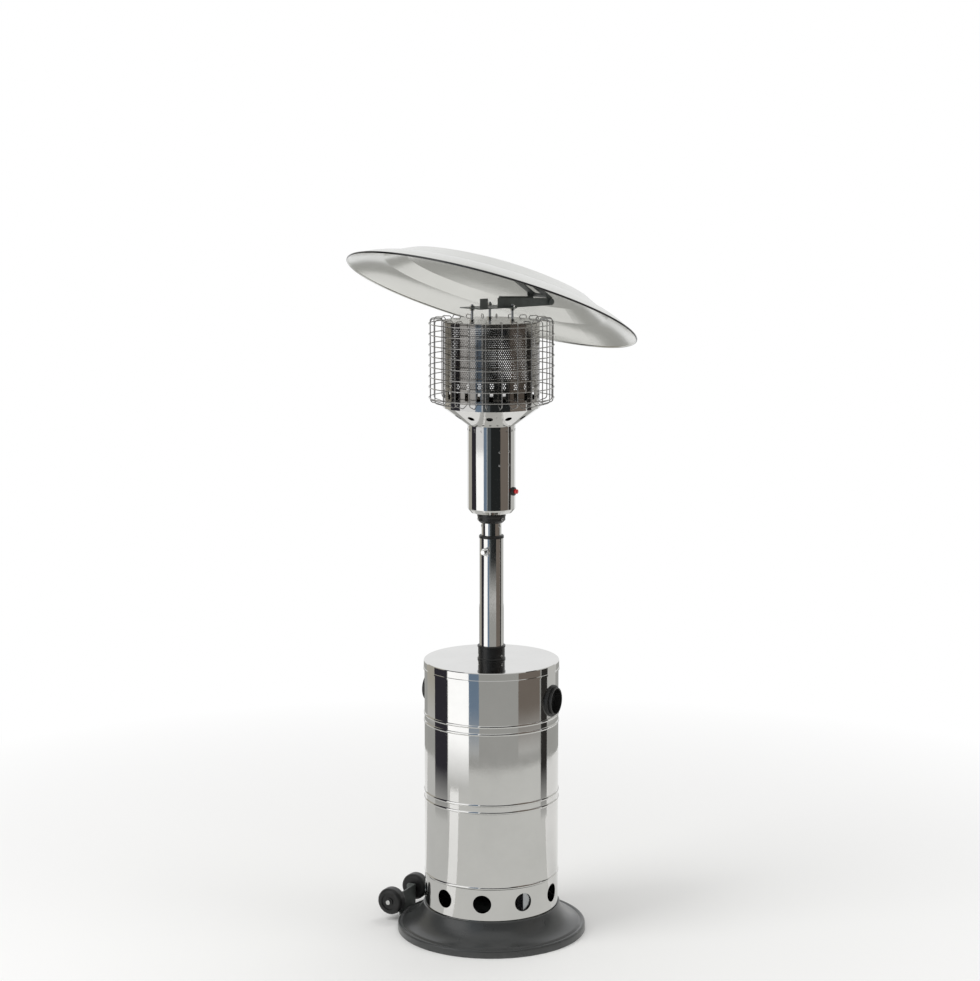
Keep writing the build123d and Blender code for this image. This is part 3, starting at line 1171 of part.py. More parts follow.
with BuildPart() as reflector_dish:
    with BuildSketch(dish_side):
        with BuildLine():
            under_centre, under_rim = dish_line(0)
            top_centre, top_rim = dish_line(REFLECTOR_SHEET)
            Line(under_centre, top_centre)
            Line(under_rim, top_rim)
        make_face()
        with Locations((REFLECTOR_R - RIM_BEAD_R, REFLECTOR_SHEET / 2)):
            Circle(RIM_BEAD_R)
    revolve(axis=dish_axis)
    for reach in PAD_BOLT_REACH:
        for side in (-1, 1):
            spot = dish_side.from_local_coords((reach, crown_height(reach), side * PAD_BOLT_HALF))
            with Locations(Plane(spot, z_dir=dish_up)):
                Cylinder(REFLECTOR_BOLT_R + GLUE_GAP, 30, mode=Mode.SUBTRACT)

# Tilt strap: bolted under the crown, with lugs on the hinge pin
pivot_local = dish_side.to_local_coords(Vector(*pivot_point))
pivot_mark = (pivot_local.X, pivot_local.Y)
strap_half = TRAY_HALF - TRAY_SHEET - SIDE_GAP
pad_top_outer = crown_height(sqrt(PAD_OUTER ** 2 + strap_half ** 2)) - PIN_TIP_GAP
pad_top_inner = crown_height(sqrt(PAD_INNER ** 2 + strap_half ** 2)) - PIN_TIP_GAP
with BuildPart() as tilt_strap:
    strap_side = [
        (STRAP_START, STRAP_START_H),
        (PAD_OUTER, pad_top_outer),
        (PAD_INNER, pad_top_inner),
        (PAD_INNER, pad_top_inner - STRAP_SHEET),
        (PAD_OUTER, pad_top_outer - STRAP_SHEET),
        (STRAP_START, STRAP_START_H - STRAP_SHEET),
    ]
    extrude(profile(strap_side, dish_side), amount=strap_half, both=True)
    strap_seen = Plane(origin=rim_centre, x_dir=dish_x, z_dir=dish_up)
    with BuildSketch(strap_seen):
        with Locations(((WINDOW_START + WINDOW_END) / 2, 0)):
            RectangleRounded(WINDOW_END - WINDOW_START, 2 * WINDOW_HALF, 5)
    extrude(amount=CROWN_H, mode=Mode.SUBTRACT)
    lug_side = [
        (STRAP_START, STRAP_START_H - STRAP_SHEET / 2),
        (STRAP_START - 22, STRAP_START_H + 22 * tan(radians(11)) - STRAP_SHEET),
        (pivot_mark[0] - LUG_R, pivot_mark[1]),
        (pivot_mark[0], pivot_mark[1] - LUG_R),
        (pivot_mark[0] + LUG_R, pivot_mark[1]),
    ]
    for side in (-1, 1):
        lug_plane = dish_side.offset(side * (strap_half - LUG_SHEET / 2))
        with BuildSketch(lug_plane):
            with BuildLine():
                Polyline(*lug_side, close=True)
            make_face()
            with Locations(pivot_mark):
                Circle(LUG_R)
        extrude(amount=LUG_SHEET / 2, both=True)
    with Locations(Plane(pivot_point, z_dir=across)):
        Cylinder(PIVOT_PIN_R + SLIDE_FIT, 4 * TRAY_HALF, mode=Mode.SUBTRACT)
    for reach in PAD_BOLT_REACH:
        for side in (-1, 1):
            spot = dish_side.from_local_coords((reach, crown_height(reach), side * PAD_BOLT_HALF))
            with Locations(Plane(spot, z_dir=dish_up)):
                Cylinder(REFLECTOR_BOLT_R + GLUE_GAP, 30, mode=Mode.SUBTRACT)

with BuildPart() as reflector_bolts:
    pad_bolt = hex_bolt(REFLECTOR_BOLT_R, 16, NUT_ACROSS, 4)
    pad_nut = hex_nut(REFLECTOR_BOLT_R + GLUE_GAP, NUT_ACROSS, NUT_HEIGHT)
    for reach in PAD_BOLT_REACH:
        for side in (-1, 1):
            seat = (pad_top_inner + pad_top_outer) / 2 - STRAP_SHEET - 1.2
            foot = dish_side.from_local_coords((reach, seat, side * PAD_BOLT_HALF))
            top = crown_height(sqrt(reach ** 2 + PAD_BOLT_HALF ** 2)) + REFLECTOR_SHEET + 0.5
            crest = dish_side.from_local_coords((reach, top, side * PAD_BOLT_HALF))
            with Locations(Plane(foot, z_dir=[-value for value in dish_up])):
                add(pad_bolt)
            with Locations(Plane(crest, z_dir=dish_up)):
                add(pad_nut)

pieces = {
    "bottom_plate": bottom_plate,
    "base_cover": base_cover,
    "support_legs": support_legs,
    "base_bolts": base_bolts,
    "cover_screws": cover_screws,
    "pole_mount_plate": pole_mount_plate,
    "mount_plate_bolts": mount_plate_bolts,
    "wheel_bracket": wheel_bracket,
    "wheel_axle": wheel_axle,
    "axle_caps": axle_caps,
    "wheel_left": wheel_left,
    "wheel_right": wheel_right,
    "tank_housing": tank_housing,
    "housing_lid": housing_lid,
    "lid_collar": lid_collar,
    "lid_collar_screws": lid_collar_screws,
    "grip_front": grip_front,
    "grip_back": grip_back,
    "outer_pole": outer_pole,
    "pole_top_bush": pole_top_bush,
    "lock_pin_guide": lock_pin_guide,
    "lock_pin": lock_pin,
    "lock_pin_ring": lock_pin_ring,
    "middle_pole": middle_pole,
    "middle_pole_bush": middle_pole_bush,
    "clamp_collar": clamp_collar,
    "collar_screws": collar_screws,
    "clamp_screws": clamp_screws,
    "inner_pole": inner_pole,
    "inner_pole_bush": inner_pole_bush,
    "head_screws": head_screws,
    "head_housing": head_housing,
    "valve_bracket": valve_bracket,
    "bracket_rivets": bracket_rivets,
    "valve_body": valve_body,
    "gas_inlet": gas_inlet,
    "injector": injector,
    "valve_stem": valve_stem,
    "knob_bezel": knob_bezel,
    "control_knob": control_knob,
    "igniter_body": igniter_body,
    "igniter_button": igniter_button,
    "burner_bowl": burner_bowl,
    "burner_plate": burner_plate,
    "mixer_tube": mixer_tube,
    "burner_head": burner_head,
    "pilot_burner": pilot_burner,
    "thermocouple": thermocouple,
    "spark_electrode": spark_electrode,
    "emitter_screen": emitter_screen,
    "emitter_cap": emitter_cap,
    "cage_uprights": cage_uprights,
    "cage_rings": cage_rings,
    "bracket_studs": bracket_studs,
    "stud_nuts": stud_nuts,
    "hinge_tray": hinge_tray,
    "hinge_pin": hinge_pin,
    "reflector_dish": reflector_dish,
    "tilt_strap": tilt_strap,
    "reflector_bolts": reflector_bolts,
}

os.makedirs("parts", exist_ok=True)
for name, piece in pieces.items():
    piece.part.label = name
    export_step(piece.part, f"parts/{name}.step")
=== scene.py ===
import json
import math

import bmesh
import bpy
from mathutils import Euler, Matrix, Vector


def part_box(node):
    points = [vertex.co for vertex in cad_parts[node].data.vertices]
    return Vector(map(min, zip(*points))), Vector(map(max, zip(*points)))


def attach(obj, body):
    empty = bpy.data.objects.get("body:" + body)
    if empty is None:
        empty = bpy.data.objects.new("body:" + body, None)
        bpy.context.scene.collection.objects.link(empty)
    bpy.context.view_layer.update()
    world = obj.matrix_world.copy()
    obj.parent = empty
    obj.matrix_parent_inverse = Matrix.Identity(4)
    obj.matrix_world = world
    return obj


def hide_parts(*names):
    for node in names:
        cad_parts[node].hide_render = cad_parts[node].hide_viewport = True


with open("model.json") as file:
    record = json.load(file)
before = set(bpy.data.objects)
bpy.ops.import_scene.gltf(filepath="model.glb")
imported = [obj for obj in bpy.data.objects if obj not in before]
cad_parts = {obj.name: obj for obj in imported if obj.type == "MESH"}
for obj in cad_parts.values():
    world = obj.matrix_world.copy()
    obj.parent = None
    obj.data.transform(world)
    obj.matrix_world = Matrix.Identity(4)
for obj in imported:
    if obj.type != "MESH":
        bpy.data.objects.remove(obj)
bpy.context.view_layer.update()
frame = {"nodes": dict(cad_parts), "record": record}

nodes = frame["nodes"]

# Driving values, in metres and degrees

CAMERA_AZIMUTH = -64.0
CAMERA_SIDE = CAMERA_AZIMUTH - 90.0
CAMERA_DISTANCE = 5.670
CAMERA_HEIGHT = 1.974
CAMERA_PITCH = 7.09
CAMERA_LENS = 86.3
CAMERA_SHIFT_X = -0.0015
CAMERA_SHIFT_Y = -0.07

DISH_CENTRE = (0, 0, 1.562)
DISH_HEADING = math.radians(-23.0)
DISH_TILT = math.radians(20.9)
DISH_UP = (math.cos(DISH_HEADING) * math.sin(DISH_TILT),
           math.sin(DISH_HEADING) * math.sin(DISH_TILT),
           math.cos(DISH_TILT))
DISH_REACH = 0.3665
# Where the reflector's sheet fades into a painted dark shade band at its rolled rim, in metres from its axis
DISH_RIM_SHADE_START = DISH_REACH - 0.0052
DISH_RIM_SHADE_END = DISH_REACH - 0.0042

SCREEN_INSET = 0.0003
SCREEN_MARGIN = 0.0002
SCREEN_THICKNESS = 0.0005
SCREEN_TOP_BAND = 0.010
HOLES_AROUND = 144
HOLE_PITCH = 0.00445
HOLE_WIDE = 0.31
HOLE_TALL = 0.33
HOLE_CORNER_STRETCH = 1.15
SLOTS = 24
SLOT_STEP = 360 / SLOTS
SLOT_FIRST = 10.5
SLOT_HALF = 0.005
SLOT_LOW = 1.330
SLOT_HIGH = 1.351
SLOT_BAND_HIGH = 1.357
WELD = 0.00002

HOUSING_RADIUS = 0.165
RIB_HEIGHTS = (0.150, 0.338, 0.356, 0.531, 0.550)
RIB_HALF = 0.0035
RIB_PROUD = 0.0016
SEAM_ANGLE = math.radians(40.0)
SEAM_LOW = 0.0705
SEAM_HIGH = 0.6585
SEAM_STEPS = 300
SEAM_LIFT = 0.0005
SEAM_SUNK = -0.0002
SEAM_FOOT_HALF = 0.0045
SEAM_TOP_HALF = 0.0042

MARK_THICKNESS = 0.0005
MARK_BEVEL = 0.12

CARD_STEP = 6
CARD_FADE_HEIGHT = 0.15
CARD_FADE_COLOR = (0.50, 0.50, 0.485)
FLOOR_RINGS = (0.3, 0.6, 1.0, 1.6, 2.5, 4, 7, 12, 25, 60)
FLOOR_SIDES = 64
FLOOR_FADE_START = 0.35
FLOOR_FADE_END = 2.4
FLOOR_GLOSSY_SHARE = 0.15


# Small helpers

def linked(name, data):
    """A new object in the scene."""
    thing = bpy.data.objects.new(name, data)
    bpy.context.scene.collection.objects.link(thing)
    return thing


def object_from(name, mesh):
    """A new object in the scene from a finished bmesh."""
    data = bpy.data.meshes.new(name)
    mesh.to_mesh(data)
    mesh.free()
    return linked(name, data)


def from_camera_side(turn, reach, z):
    """A point round the object, its angle in degrees to the right of the camera's side."""
    angle = math.radians(CAMERA_SIDE + turn)
    return (reach * math.cos(angle), reach * math.sin(angle), z)


# Shader pieces

def new_material(name, color, metallic=0.0, roughness=0.4, coat=0.0, coat_roughness=0.1):
    """A principled material with its plain numbers on the shader's own sockets."""
    material = bpy.data.materials.new(name)
    material.use_nodes = True
    shader = material.node_tree.nodes["Principled BSDF"]
    shader.inputs["Base Color"].default_value = (*color, 1)
    shader.inputs["Metallic"].default_value = metallic
    shader.inputs["Roughness"].default_value = roughness
    shader.inputs["IOR"].default_value = 1.5
    shader.inputs["Coat Weight"].default_value = coat
    shader.inputs["Coat Roughness"].default_value = coat_roughness
    return material, material.node_tree, shader


def place(tree, scale=(1, 1, 1)):
    """Object coordinates, stretched."""
    source = tree.nodes.new("ShaderNodeTexCoord")
    mapping = tree.nodes.new("ShaderNodeMapping")
    mapping.inputs["Scale"].default_value = scale
    tree.links.new(source.outputs["Object"], mapping.inputs["Vector"])
    return mapping.outputs["Vector"]


def noise(tree, vector, scale, detail=3.0, rough=0.5):
    """Noise over the surface, from 0 to 1."""
    node = tree.nodes.new("ShaderNodeTexNoise")
    node.inputs["Scale"].default_value = scale
    node.inputs["Detail"].default_value = detail
    node.inputs["Roughness"].default_value = rough
    tree.links.new(vector, node.inputs["Vector"])
    return node.outputs["Fac"]


def ranged(tree, value, low, high, start=0.0, end=1.0):
    """A value from start to end, mapped and held to low to high."""
    node = tree.nodes.new("ShaderNodeMapRange")
    node.inputs["From Min"].default_value = start
    node.inputs["From Max"].default_value = end
    node.inputs["To Min"].default_value = low
    node.inputs["To Max"].default_value = high
    tree.links.new(value, node.inputs["Value"])
    return node.outputs["Result"]


def calculated(tree, operation, *values):
    """A math node whose values are sockets or plain numbers."""
    node = tree.nodes.new("ShaderNodeMath")
    node.operation = operation
    for socket, value in zip(node.inputs, values):
        if isinstance(value, float):
            socket.default_value = value
        else:
            tree.links.new(value, socket)
    return node.outputs[0]


def blend_colors(tree, factor, first, second):
    """A mix of two colours, each a tuple or a socket."""
    node = tree.nodes.new("ShaderNodeMix")
    node.data_type = "RGBA"
    tree.links.new(factor, node.inputs["Factor"])
    for socket, color in ((node.inputs[6], first), (node.inputs[7], second)):
        if isinstance(color, tuple):
            socket.default_value = (*color, 1)
        else:
            tree.links.new(color, socket)
    return node.outputs[2]


def bumped(tree, shader, height, strength, distance):
    """A bump on the shader's normal."""
    node = tree.nodes.new("ShaderNodeBump")
    node.inputs["Strength"].default_value = strength
    node.inputs["Distance"].default_value = distance
    tree.links.new(height, node.inputs["Height"])
    tree.links.new(node.outputs["Normal"], shader.inputs["Normal"])


def mixed_surface(tree, factor, first, second, target):
    """Two shaders mixed into the tree's output."""
    mix = tree.nodes.new("ShaderNodeMixShader")
    tree.links.new(factor, mix.inputs[0])
    tree.links.new(first, mix.inputs[1])
    tree.links.new(second, mix.inputs[2])
    tree.links.new(mix.outputs[0], target.inputs["Surface"])


# Materials

def metal(name, color, low, high, scratch=220.0, wave=0.0, tint=0.93, fine=(1, 1, 8)):
    """Bare metal: faint patches, smudged polish, fine drawn lines and a soft wave in the sheet."""
    material, tree, shader = new_material(name, color, metallic=1.0, roughness=(low + high) / 2)
    vector = place(tree)
    patch = noise(tree, vector, 9.0, 4.0, 0.6)
    darker = tuple(part * tint for part in color)
    tree.links.new(blend_colors(tree, ranged(tree, patch, 0, 1, 0.3, 0.7), color, darker),
                   shader.inputs["Base Color"])
    smudge = noise(tree, vector, 26.0, 5.0, 0.65)
    lines = noise(tree, place(tree, fine), scratch, 2.0, 0.5)
    worn = calculated(tree, "MULTIPLY", ranged(tree, smudge, 0.6, 1.4, 0.35, 0.7),
                      ranged(tree, lines, 0.75, 1.25, 0.35, 0.65))
    tree.links.new(ranged(tree, worn, low, high, 0.45, 1.6), shader.inputs["Roughness"])
    swell = noise(tree, place(tree, (1, 1, 0.6)), 6.0, 1.0, 0.4)
    rise = calculated(tree, "MULTIPLY_ADD", swell, wave, ranged(tree, lines, 0, 0.02, 0.3, 0.7))
    bumped(tree, shader, rise, 0.25, 0.0006)
    return material


def plastic(name, color, roughness, grain, depth, coat=0.0):
    """Moulded plastic with a fine spark-eroded grain and slight dust."""
    material, tree, shader = new_material(name, color, roughness=roughness, coat=coat)
    vector = place(tree)
    dust = noise(tree, vector, 35.0, 6.0, 0.7)
    paler = tuple(min(1.0, part * 1.5 + 0.012) for part in color)
    tree.links.new(blend_colors(tree, ranged(tree, dust, 0, 1, 0.45, 0.8), color, paler),
                   shader.inputs["Base Color"])
    tree.links.new(ranged(tree, dust, roughness * 0.85, min(1.0, roughness * 1.25), 0.3, 0.75),
                   shader.inputs["Roughness"])
    bumped(tree, shader, noise(tree, vector, grain, 2.0, 0.6), 0.35, depth)
    return material


def paint(name, color, roughness, cell, depth, coat=0.15):
    """Powder coat: small soft cells, rubbed edges a little brighter."""
    material, tree, shader = new_material(name, color, roughness=roughness, coat=coat, coat_roughness=0.3)
    vector = place(tree)
    cells = tree.nodes.new("ShaderNodeTexVoronoi")
    cells.feature = "SMOOTH_F1"
    cells.inputs["Scale"].default_value = cell
    tree.links.new(vector, cells.inputs["Vector"])
    worn = noise(tree, vector, 22.0, 6.0, 0.7)
    edge = tree.nodes.new("ShaderNodeNewGeometry")
    rub = calculated(tree, "MULTIPLY", ranged(tree, edge.outputs["Pointiness"], 0, 1, 0.52, 0.62),
                     ranged(tree, worn, 0, 0.6, 0.4, 0.7))
    paler = tuple(min(1.0, part * 2.2 + 0.03) for part in color)
    tree.links.new(blend_colors(tree, rub, color, paler), shader.inputs["Base Color"])
    tree.links.new(ranged(tree, worn, roughness * 0.85, roughness * 1.2, 0.3, 0.7),
                   shader.inputs["Roughness"])
    bumped(tree, shader, cells.outputs["Distance"], 0.4, depth)
    return material


def vector_step(tree, operation, value, other=None):
    """A vector math node on a socket, with a plain second vector where it needs one."""
    node = tree.nodes.new("ShaderNodeVectorMath")
    node.operation = operation
    tree.links.new(value, node.inputs[0])
    if other:
        node.inputs[1].default_value = other
    return node


def spun_sheet(name, color, rim_shade_color):
    """The reflector's spun sheet: rings round its axis, and a dark band of painted shade at its rolled edge.
    """
    material, tree, shader = new_material(name, color, metallic=1.0, roughness=0.2)
    source = tree.nodes.new("ShaderNodeTexCoord")
    away = vector_step(tree, "SUBTRACT", source.outputs["Object"], DISH_CENTRE)
    across = vector_step(tree, "CROSS_PRODUCT", away.outputs[0], DISH_UP)
    reach = vector_step(tree, "LENGTH", across.outputs[0]).outputs["Value"]
    rings = tree.nodes.new("ShaderNodeTexNoise")
    rings.noise_dimensions = "1D"
    rings.inputs["Scale"].default_value = 900.0
    rings.inputs["Detail"].default_value = 2.0
    tree.links.new(reach, rings.inputs["W"])
    patch = noise(tree, place(tree), 7.0, 4.0, 0.6)
    darker = tuple(part * 0.93 for part in color)
    plain = blend_colors(tree, ranged(tree, patch, 0, 1, 0.3, 0.7), color, darker)
    # Painted shade: the outermost rim of the sheet is mixed into a dark colour
    rim_painted_shade = ranged(tree, reach, 0, 1, DISH_RIM_SHADE_START, DISH_RIM_SHADE_END)
    tree.links.new(blend_colors(tree, rim_painted_shade, plain, rim_shade_color), shader.inputs["Base Color"])
    tree.links.new(ranged(tree, rings.outputs["Fac"], 0.13, 0.22, 0.35, 0.65),
                   shader.inputs["Roughness"])
    bumped(tree, shader, rings.outputs["Fac"], 0.2, 0.0002)
    return material


materials = {
    "polished_steel": metal("polished_steel", (0.80, 0.795, 0.78), 0.02, 0.10, wave=0.5),
    "bright_steel": metal("bright_steel", (0.86, 0.86, 0.85), 0.08, 0.22),
    "zinc_steel": metal("zinc_steel", (0.60, 0.62, 0.64), 0.20, 0.42, scratch=90.0, tint=0.8, fine=(1, 1, 1)),
    "base_paint": paint("base_paint", (0.040, 0.042, 0.042), 0.30, 420.0, 0.0004, coat=0.3),
    "bracket_paint": paint("bracket_paint", (0.075, 0.085, 0.080), 0.42, 600.0, 0.00025),
    "wheel_black": plastic("wheel_black", (0.011, 0.011, 0.011), 0.36, 700.0, 0.0002),
    "black_plastic": plastic("black_plastic", (0.012, 0.012, 0.012), 0.34, 900.0, 0.00012),
    "red_plastic": plastic("red_plastic", (0.55, 0.012, 0.015), 0.16, 500.0, 0.00005, coat=0.5),
    "brass": metal("brass", (0.75, 0.55, 0.25), 0.15, 0.35, scratch=150.0, tint=0.82),
    "ceramic_white": plastic("ceramic_white", (0.80, 0.79, 0.74), 0.45, 400.0, 0.0001),
    "emitter_steel": metal("emitter_steel", (0.40, 0.385, 0.365), 0.06, 0.16, scratch=120.0, tint=0.82),
    "guard_wire": metal("guard_wire", (0.55, 0.54, 0.525), 0.18, 0.34, scratch=160.0, tint=0.85),
    # The reflector's second colour, near black, is painted shade for its rolled rim
    "reflector_aluminium": spun_sheet("reflector_aluminium", (0.80, 0.80, 0.77), (0.10, 0.10, 0.10)),
}

for entry in frame["record"]["subparts"]:
    node = nodes[entry["node"]]
    node.data.materials.clear()
    node.data.materials.append(materials[entry["material_slot"]])


# Perforated burner screen

def screen_holes(mesh, point, first_height, rows):
    """Staggered round holes, each in the middle of a small square of sheet."""
    outline = [(0, 0), (0.5, 0), (1, 0), (1, 1), (0.5, 1), (0, 1)]
    wide = 1 / HOLES_AROUND
    for row in range(rows):
        z = first_height + row * HOLE_PITCH
        for cell in range(HOLES_AROUND):
            first = (cell + 0.5 * (row % 2)) / HOLES_AROUND
            outer = [point(first + u * wide, z + v * HOLE_PITCH) for u, v in outline]
            hole = []
            for u, v in outline:
                angle = math.atan2(v - 0.5, (u - 0.5) * HOLE_CORNER_STRETCH)
                hole.append(point(first + (0.5 + HOLE_WIDE * math.cos(angle)) * wide,
                                  z + (0.5 + HOLE_TALL * math.sin(angle)) * HOLE_PITCH))
            for side in range(6):
                after = (side + 1) % 6
                mesh.faces.new((outer[side], outer[after], hole[after], hole[side]))


def slotted_band(mesh, point, radius, heights):
    """A plain band with upright slots in its middle level."""
    half, turn_steps = SLOT_HALF / radius / (2 * math.pi), 4
    for number in range(SLOTS):
        middle = (SLOT_FIRST + number * SLOT_STEP) / 360
        left, right = middle - half, middle + half
        after = middle + SLOT_STEP / 360 - half
        edges = [left, middle, right]
        edges += [right + (after - right) * k / turn_steps for k in range(1, turn_steps + 1)]
        for level in range(3):
            for k in range(len(edges) - 1):
                if level == 1 and k < 2:
                    continue
                a, b = edges[k], edges[k + 1]
                low, high = heights[level], heights[level + 1]
                mesh.faces.new((point(a, low), point(b, low), point(b, high), point(a, high)))


def perforated_screen():
    """The emitter's sheet: a plain band with upright slots, and staggered round holes above it."""
    low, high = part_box("emitter_screen")
    radius = high.x - SCREEN_INSET
    top = high.z - SCREEN_MARGIN
    rows = int((high.z - SCREEN_TOP_BAND - SLOT_BAND_HIGH) / HOLE_PITCH)
    holes_top = SLOT_BAND_HIGH + rows * HOLE_PITCH
    mesh = bmesh.new()

    def point(turn, z):
        angle = 2 * math.pi * turn
        return mesh.verts.new((radius * math.cos(angle), radius * math.sin(angle), z))

    screen_holes(mesh, point, SLOT_BAND_HIGH, rows)
    slotted_band(mesh, point, radius, (low.z + SCREEN_MARGIN, SLOT_LOW, SLOT_HIGH, SLOT_BAND_HIGH))
    for cell in range(HOLES_AROUND):
        a, b = cell / HOLES_AROUND, (cell + 1) / HOLES_AROUND
        mesh.faces.new((point(a, holes_top), point(b, holes_top), point(b, top), point(a, top)))
    bmesh.ops.remove_doubles(mesh, verts=mesh.verts, dist=WELD)
    bmesh.ops.recalc_face_normals(mesh, faces=mesh.faces)
    for edge in mesh.edges:
        edge.smooth = not edge.is_boundary
    screen = object_from("emitter_perforated", mesh)
    for face in screen.data.polygons:
        face.use_smooth = True
    thick = screen.modifiers.new("thickness", "SOLIDIFY")
    thick.thickness = SCREEN_THICKNESS
    thick.offset = -1
    screen.data.materials.append(materials["emitter_steel"])
    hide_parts("emitter_screen")
    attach(screen, "head")


perforated_screen()


# Studio cards, which only polished metal sees

def emission_only(name, color, fade=False):
    """A plain glow, which may start from the pale floor's colour at the ground."""
    material = bpy.data.materials.new(name)
    material.use_nodes = True
    tree = material.node_tree
    tree.nodes.clear()
    glow = tree.nodes.new("ShaderNodeEmission")
    if fade:
        where = tree.nodes.new("ShaderNodeNewGeometry")
        split = tree.nodes.new("ShaderNodeSeparateXYZ")
        tree.links.new(where.outputs["Position"], split.inputs[0])
        share = ranged(tree, split.outputs["Z"], 0, 1, 0.0, CARD_FADE_HEIGHT)
        tree.links.new(blend_colors(tree, share, CARD_FADE_COLOR, color), glow.inputs["Color"])
    else:
        glow.inputs["Color"].default_value = (*color, 1)
    out = tree.nodes.new("ShaderNodeOutputMaterial")
    tree.links.new(glow.outputs[0], out.inputs["Surface"])
    return material


def card_turns(start, end):
    """Even angles from start to end, for the edges of a card's facets."""
    steps = max(2, int(abs(end - start) / CARD_STEP))
    return [start + (end - start) * k / steps for k in range(steps + 1)]


def studio_card(name, pairs, material):
    """A strip between pairs of points."""
    data = bpy.data.meshes.new(name)
    points = [point for pair in pairs for point in pair]
    faces = [(2 * k - 2, 2 * k, 2 * k + 1, 2 * k - 1) for k in range(1, len(pairs))]
    data.from_pydata(points, [], faces)
    data.materials.append(material)
    card = linked(name, data)
    card.visible_camera = False
    card.visible_diffuse = False
    card.visible_shadow = False
    card.visible_transmission = False


def upright_card(name, color, start, end, distance, low, high, lean=0.0):
    """A card standing round the object, its top turned on by the lean in degrees."""
    pairs = [(from_camera_side(turn, distance, low), from_camera_side(turn + lean, distance, high))
             for turn in card_turns(start, end)]
    studio_card(name, pairs, emission_only(name, color, fade=True))


def flat_card(name, color, start, end, inner, outer, height):
    """A card lying flat round the object, or hung over it."""
    pairs = [(from_camera_side(turn, inner, height), from_camera_side(turn, outer, height))
             for turn in card_turns(start, end)]
    studio_card(name, pairs, emission_only(name, color))


upright_card("card_tan", (0.42, 0.40, 0.35), -140, -107, 2.2, 0.0, 3.4)
upright_card("card_dark_left", (0.030, 0.028, 0.035), -107, -76, 1.15, 0.0, 3.0)
upright_card("card_white", (1.25, 1.25, 1.25), -76, -37, 1.5, 0.0, 1.0)
upright_card("card_white_top", (0.78, 0.78, 0.78), -76, -37, 1.5, 1.0, 3.2)
upright_card("card_back", (0.88, 0.885, 0.89), 140, 220, 2.3, 0.35, 3.6)
upright_card("card_blue", (0.16, 0.22, 0.30), -40, -20, 1.9, 0.0, 3.0, lean=-6)
upright_card("card_grey", (0.07, 0.08, 0.085), -20, -3, 4.2, 0.0, 4.5)
upright_card("card_black", (0.018, 0.020, 0.020), -3, 45, 4.2, 0.0, 4.5)
upright_card("card_brown", (0.17, 0.145, 0.125), 45, 88, 1.9, 0.0, 3.4, lean=-5)
upright_card("card_dark_right", (0.030, 0.028, 0.026), 88, 104, 1.15, 0.0, 3.0)
upright_card("card_light_right", (0.55, 0.55, 0.53), 104, 140, 2.2, 0.0, 3.4)

flat_card("card_floor_far", (0.36, 0.36, 0.345), -180, 180, 1.75, 4.0, 0.004)
flat_card("card_floor_near", (0.60, 0.60, 0.58), -55, 100, 0.24, 1.75, 0.003)
flat_card("card_floor_side", (0.55, 0.55, 0.535), -140, -72, 0.24, 1.75, 0.003)
flat_card("card_ceiling", (0.62, 0.62, 0.61), -180, 180, 0.0, 3.6, 4.6)


# Housing seam and knob marks

def housing_seam():
    """The lap seam down the bottle housing's back, over its rolled ribs."""
    profile = ((-SEAM_FOOT_HALF, SEAM_SUNK), (-SEAM_TOP_HALF, SEAM_LIFT),
               (SEAM_TOP_HALF, SEAM_LIFT), (SEAM_FOOT_HALF, SEAM_SUNK))
    mesh = bmesh.new()
    sheet = []
    for step in range(SEAM_STEPS + 1):
        z = SEAM_LOW + (SEAM_HIGH - SEAM_LOW) * step / SEAM_STEPS
        bulge = max(0.0, *(RIB_PROUD * (1 - ((z - rib) / RIB_HALF) ** 2) for rib in RIB_HEIGHTS))
        line = []
        for across, rise in profile:
            turn = SEAM_ANGLE + across / HOUSING_RADIUS
            reach = HOUSING_RADIUS + bulge + rise
            line.append(mesh.verts.new((reach * math.cos(turn), reach * math.sin(turn), z)))
        sheet.append(line)
    for below, above in zip(sheet, sheet[1:]):
        for k in range(3):
            mesh.faces.new((below[k], below[k + 1], above[k + 1], above[k]))
    mesh.faces.new(sheet[0][::-1])
    mesh.faces.new(sheet[-1])
    bmesh.ops.recalc_face_normals(mesh, faces=mesh.faces)
    seam = object_from("housing_seam", mesh)
    seam.data.materials.append(materials["polished_steel"])
    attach(seam, "housing")


def knob_marks():
    """A raised white line on the knob, and three strokes on its bezel for off, low and high."""
    low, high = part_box("control_knob")
    middle_y, middle_z = (low.y + high.y) / 2, (low.z + high.z) / 2
    bezel_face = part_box("knob_bezel")[1].x

    def stroke(name, face_x, reach, length, width, angle, body):
        mesh = bmesh.new()
        bmesh.ops.create_cube(mesh, size=1.0)
        bmesh.ops.bevel(mesh, geom=mesh.edges[:], offset=MARK_BEVEL, segments=2, affect="EDGES")
        turn = math.radians(angle)
        for vertex in mesh.verts:
            across, along = vertex.co.y * width, reach + vertex.co.z * length
            vertex.co = (face_x + vertex.co.x * MARK_THICKNESS,
                         middle_y + across * math.cos(turn) + along * math.sin(turn),
                         middle_z - across * math.sin(turn) + along * math.cos(turn))
        mark = object_from(name, mesh)
        mark.data.materials.append(materials["ceramic_white"])
        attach(mark, body)

    stroke("knob_line", high.x, reach=0.0095, length=0.0085, width=0.0014, angle=0, body="gas_knob")
    for name, angle in (("bezel_mark_off", 0), ("bezel_mark_low", 120), ("bezel_mark_high", 240)):
        stroke(name, bezel_face, reach=0.0218, length=0.0024, width=0.0010, angle=angle, body="head")


housing_seam()
knob_marks()


# Floor, background and lamps

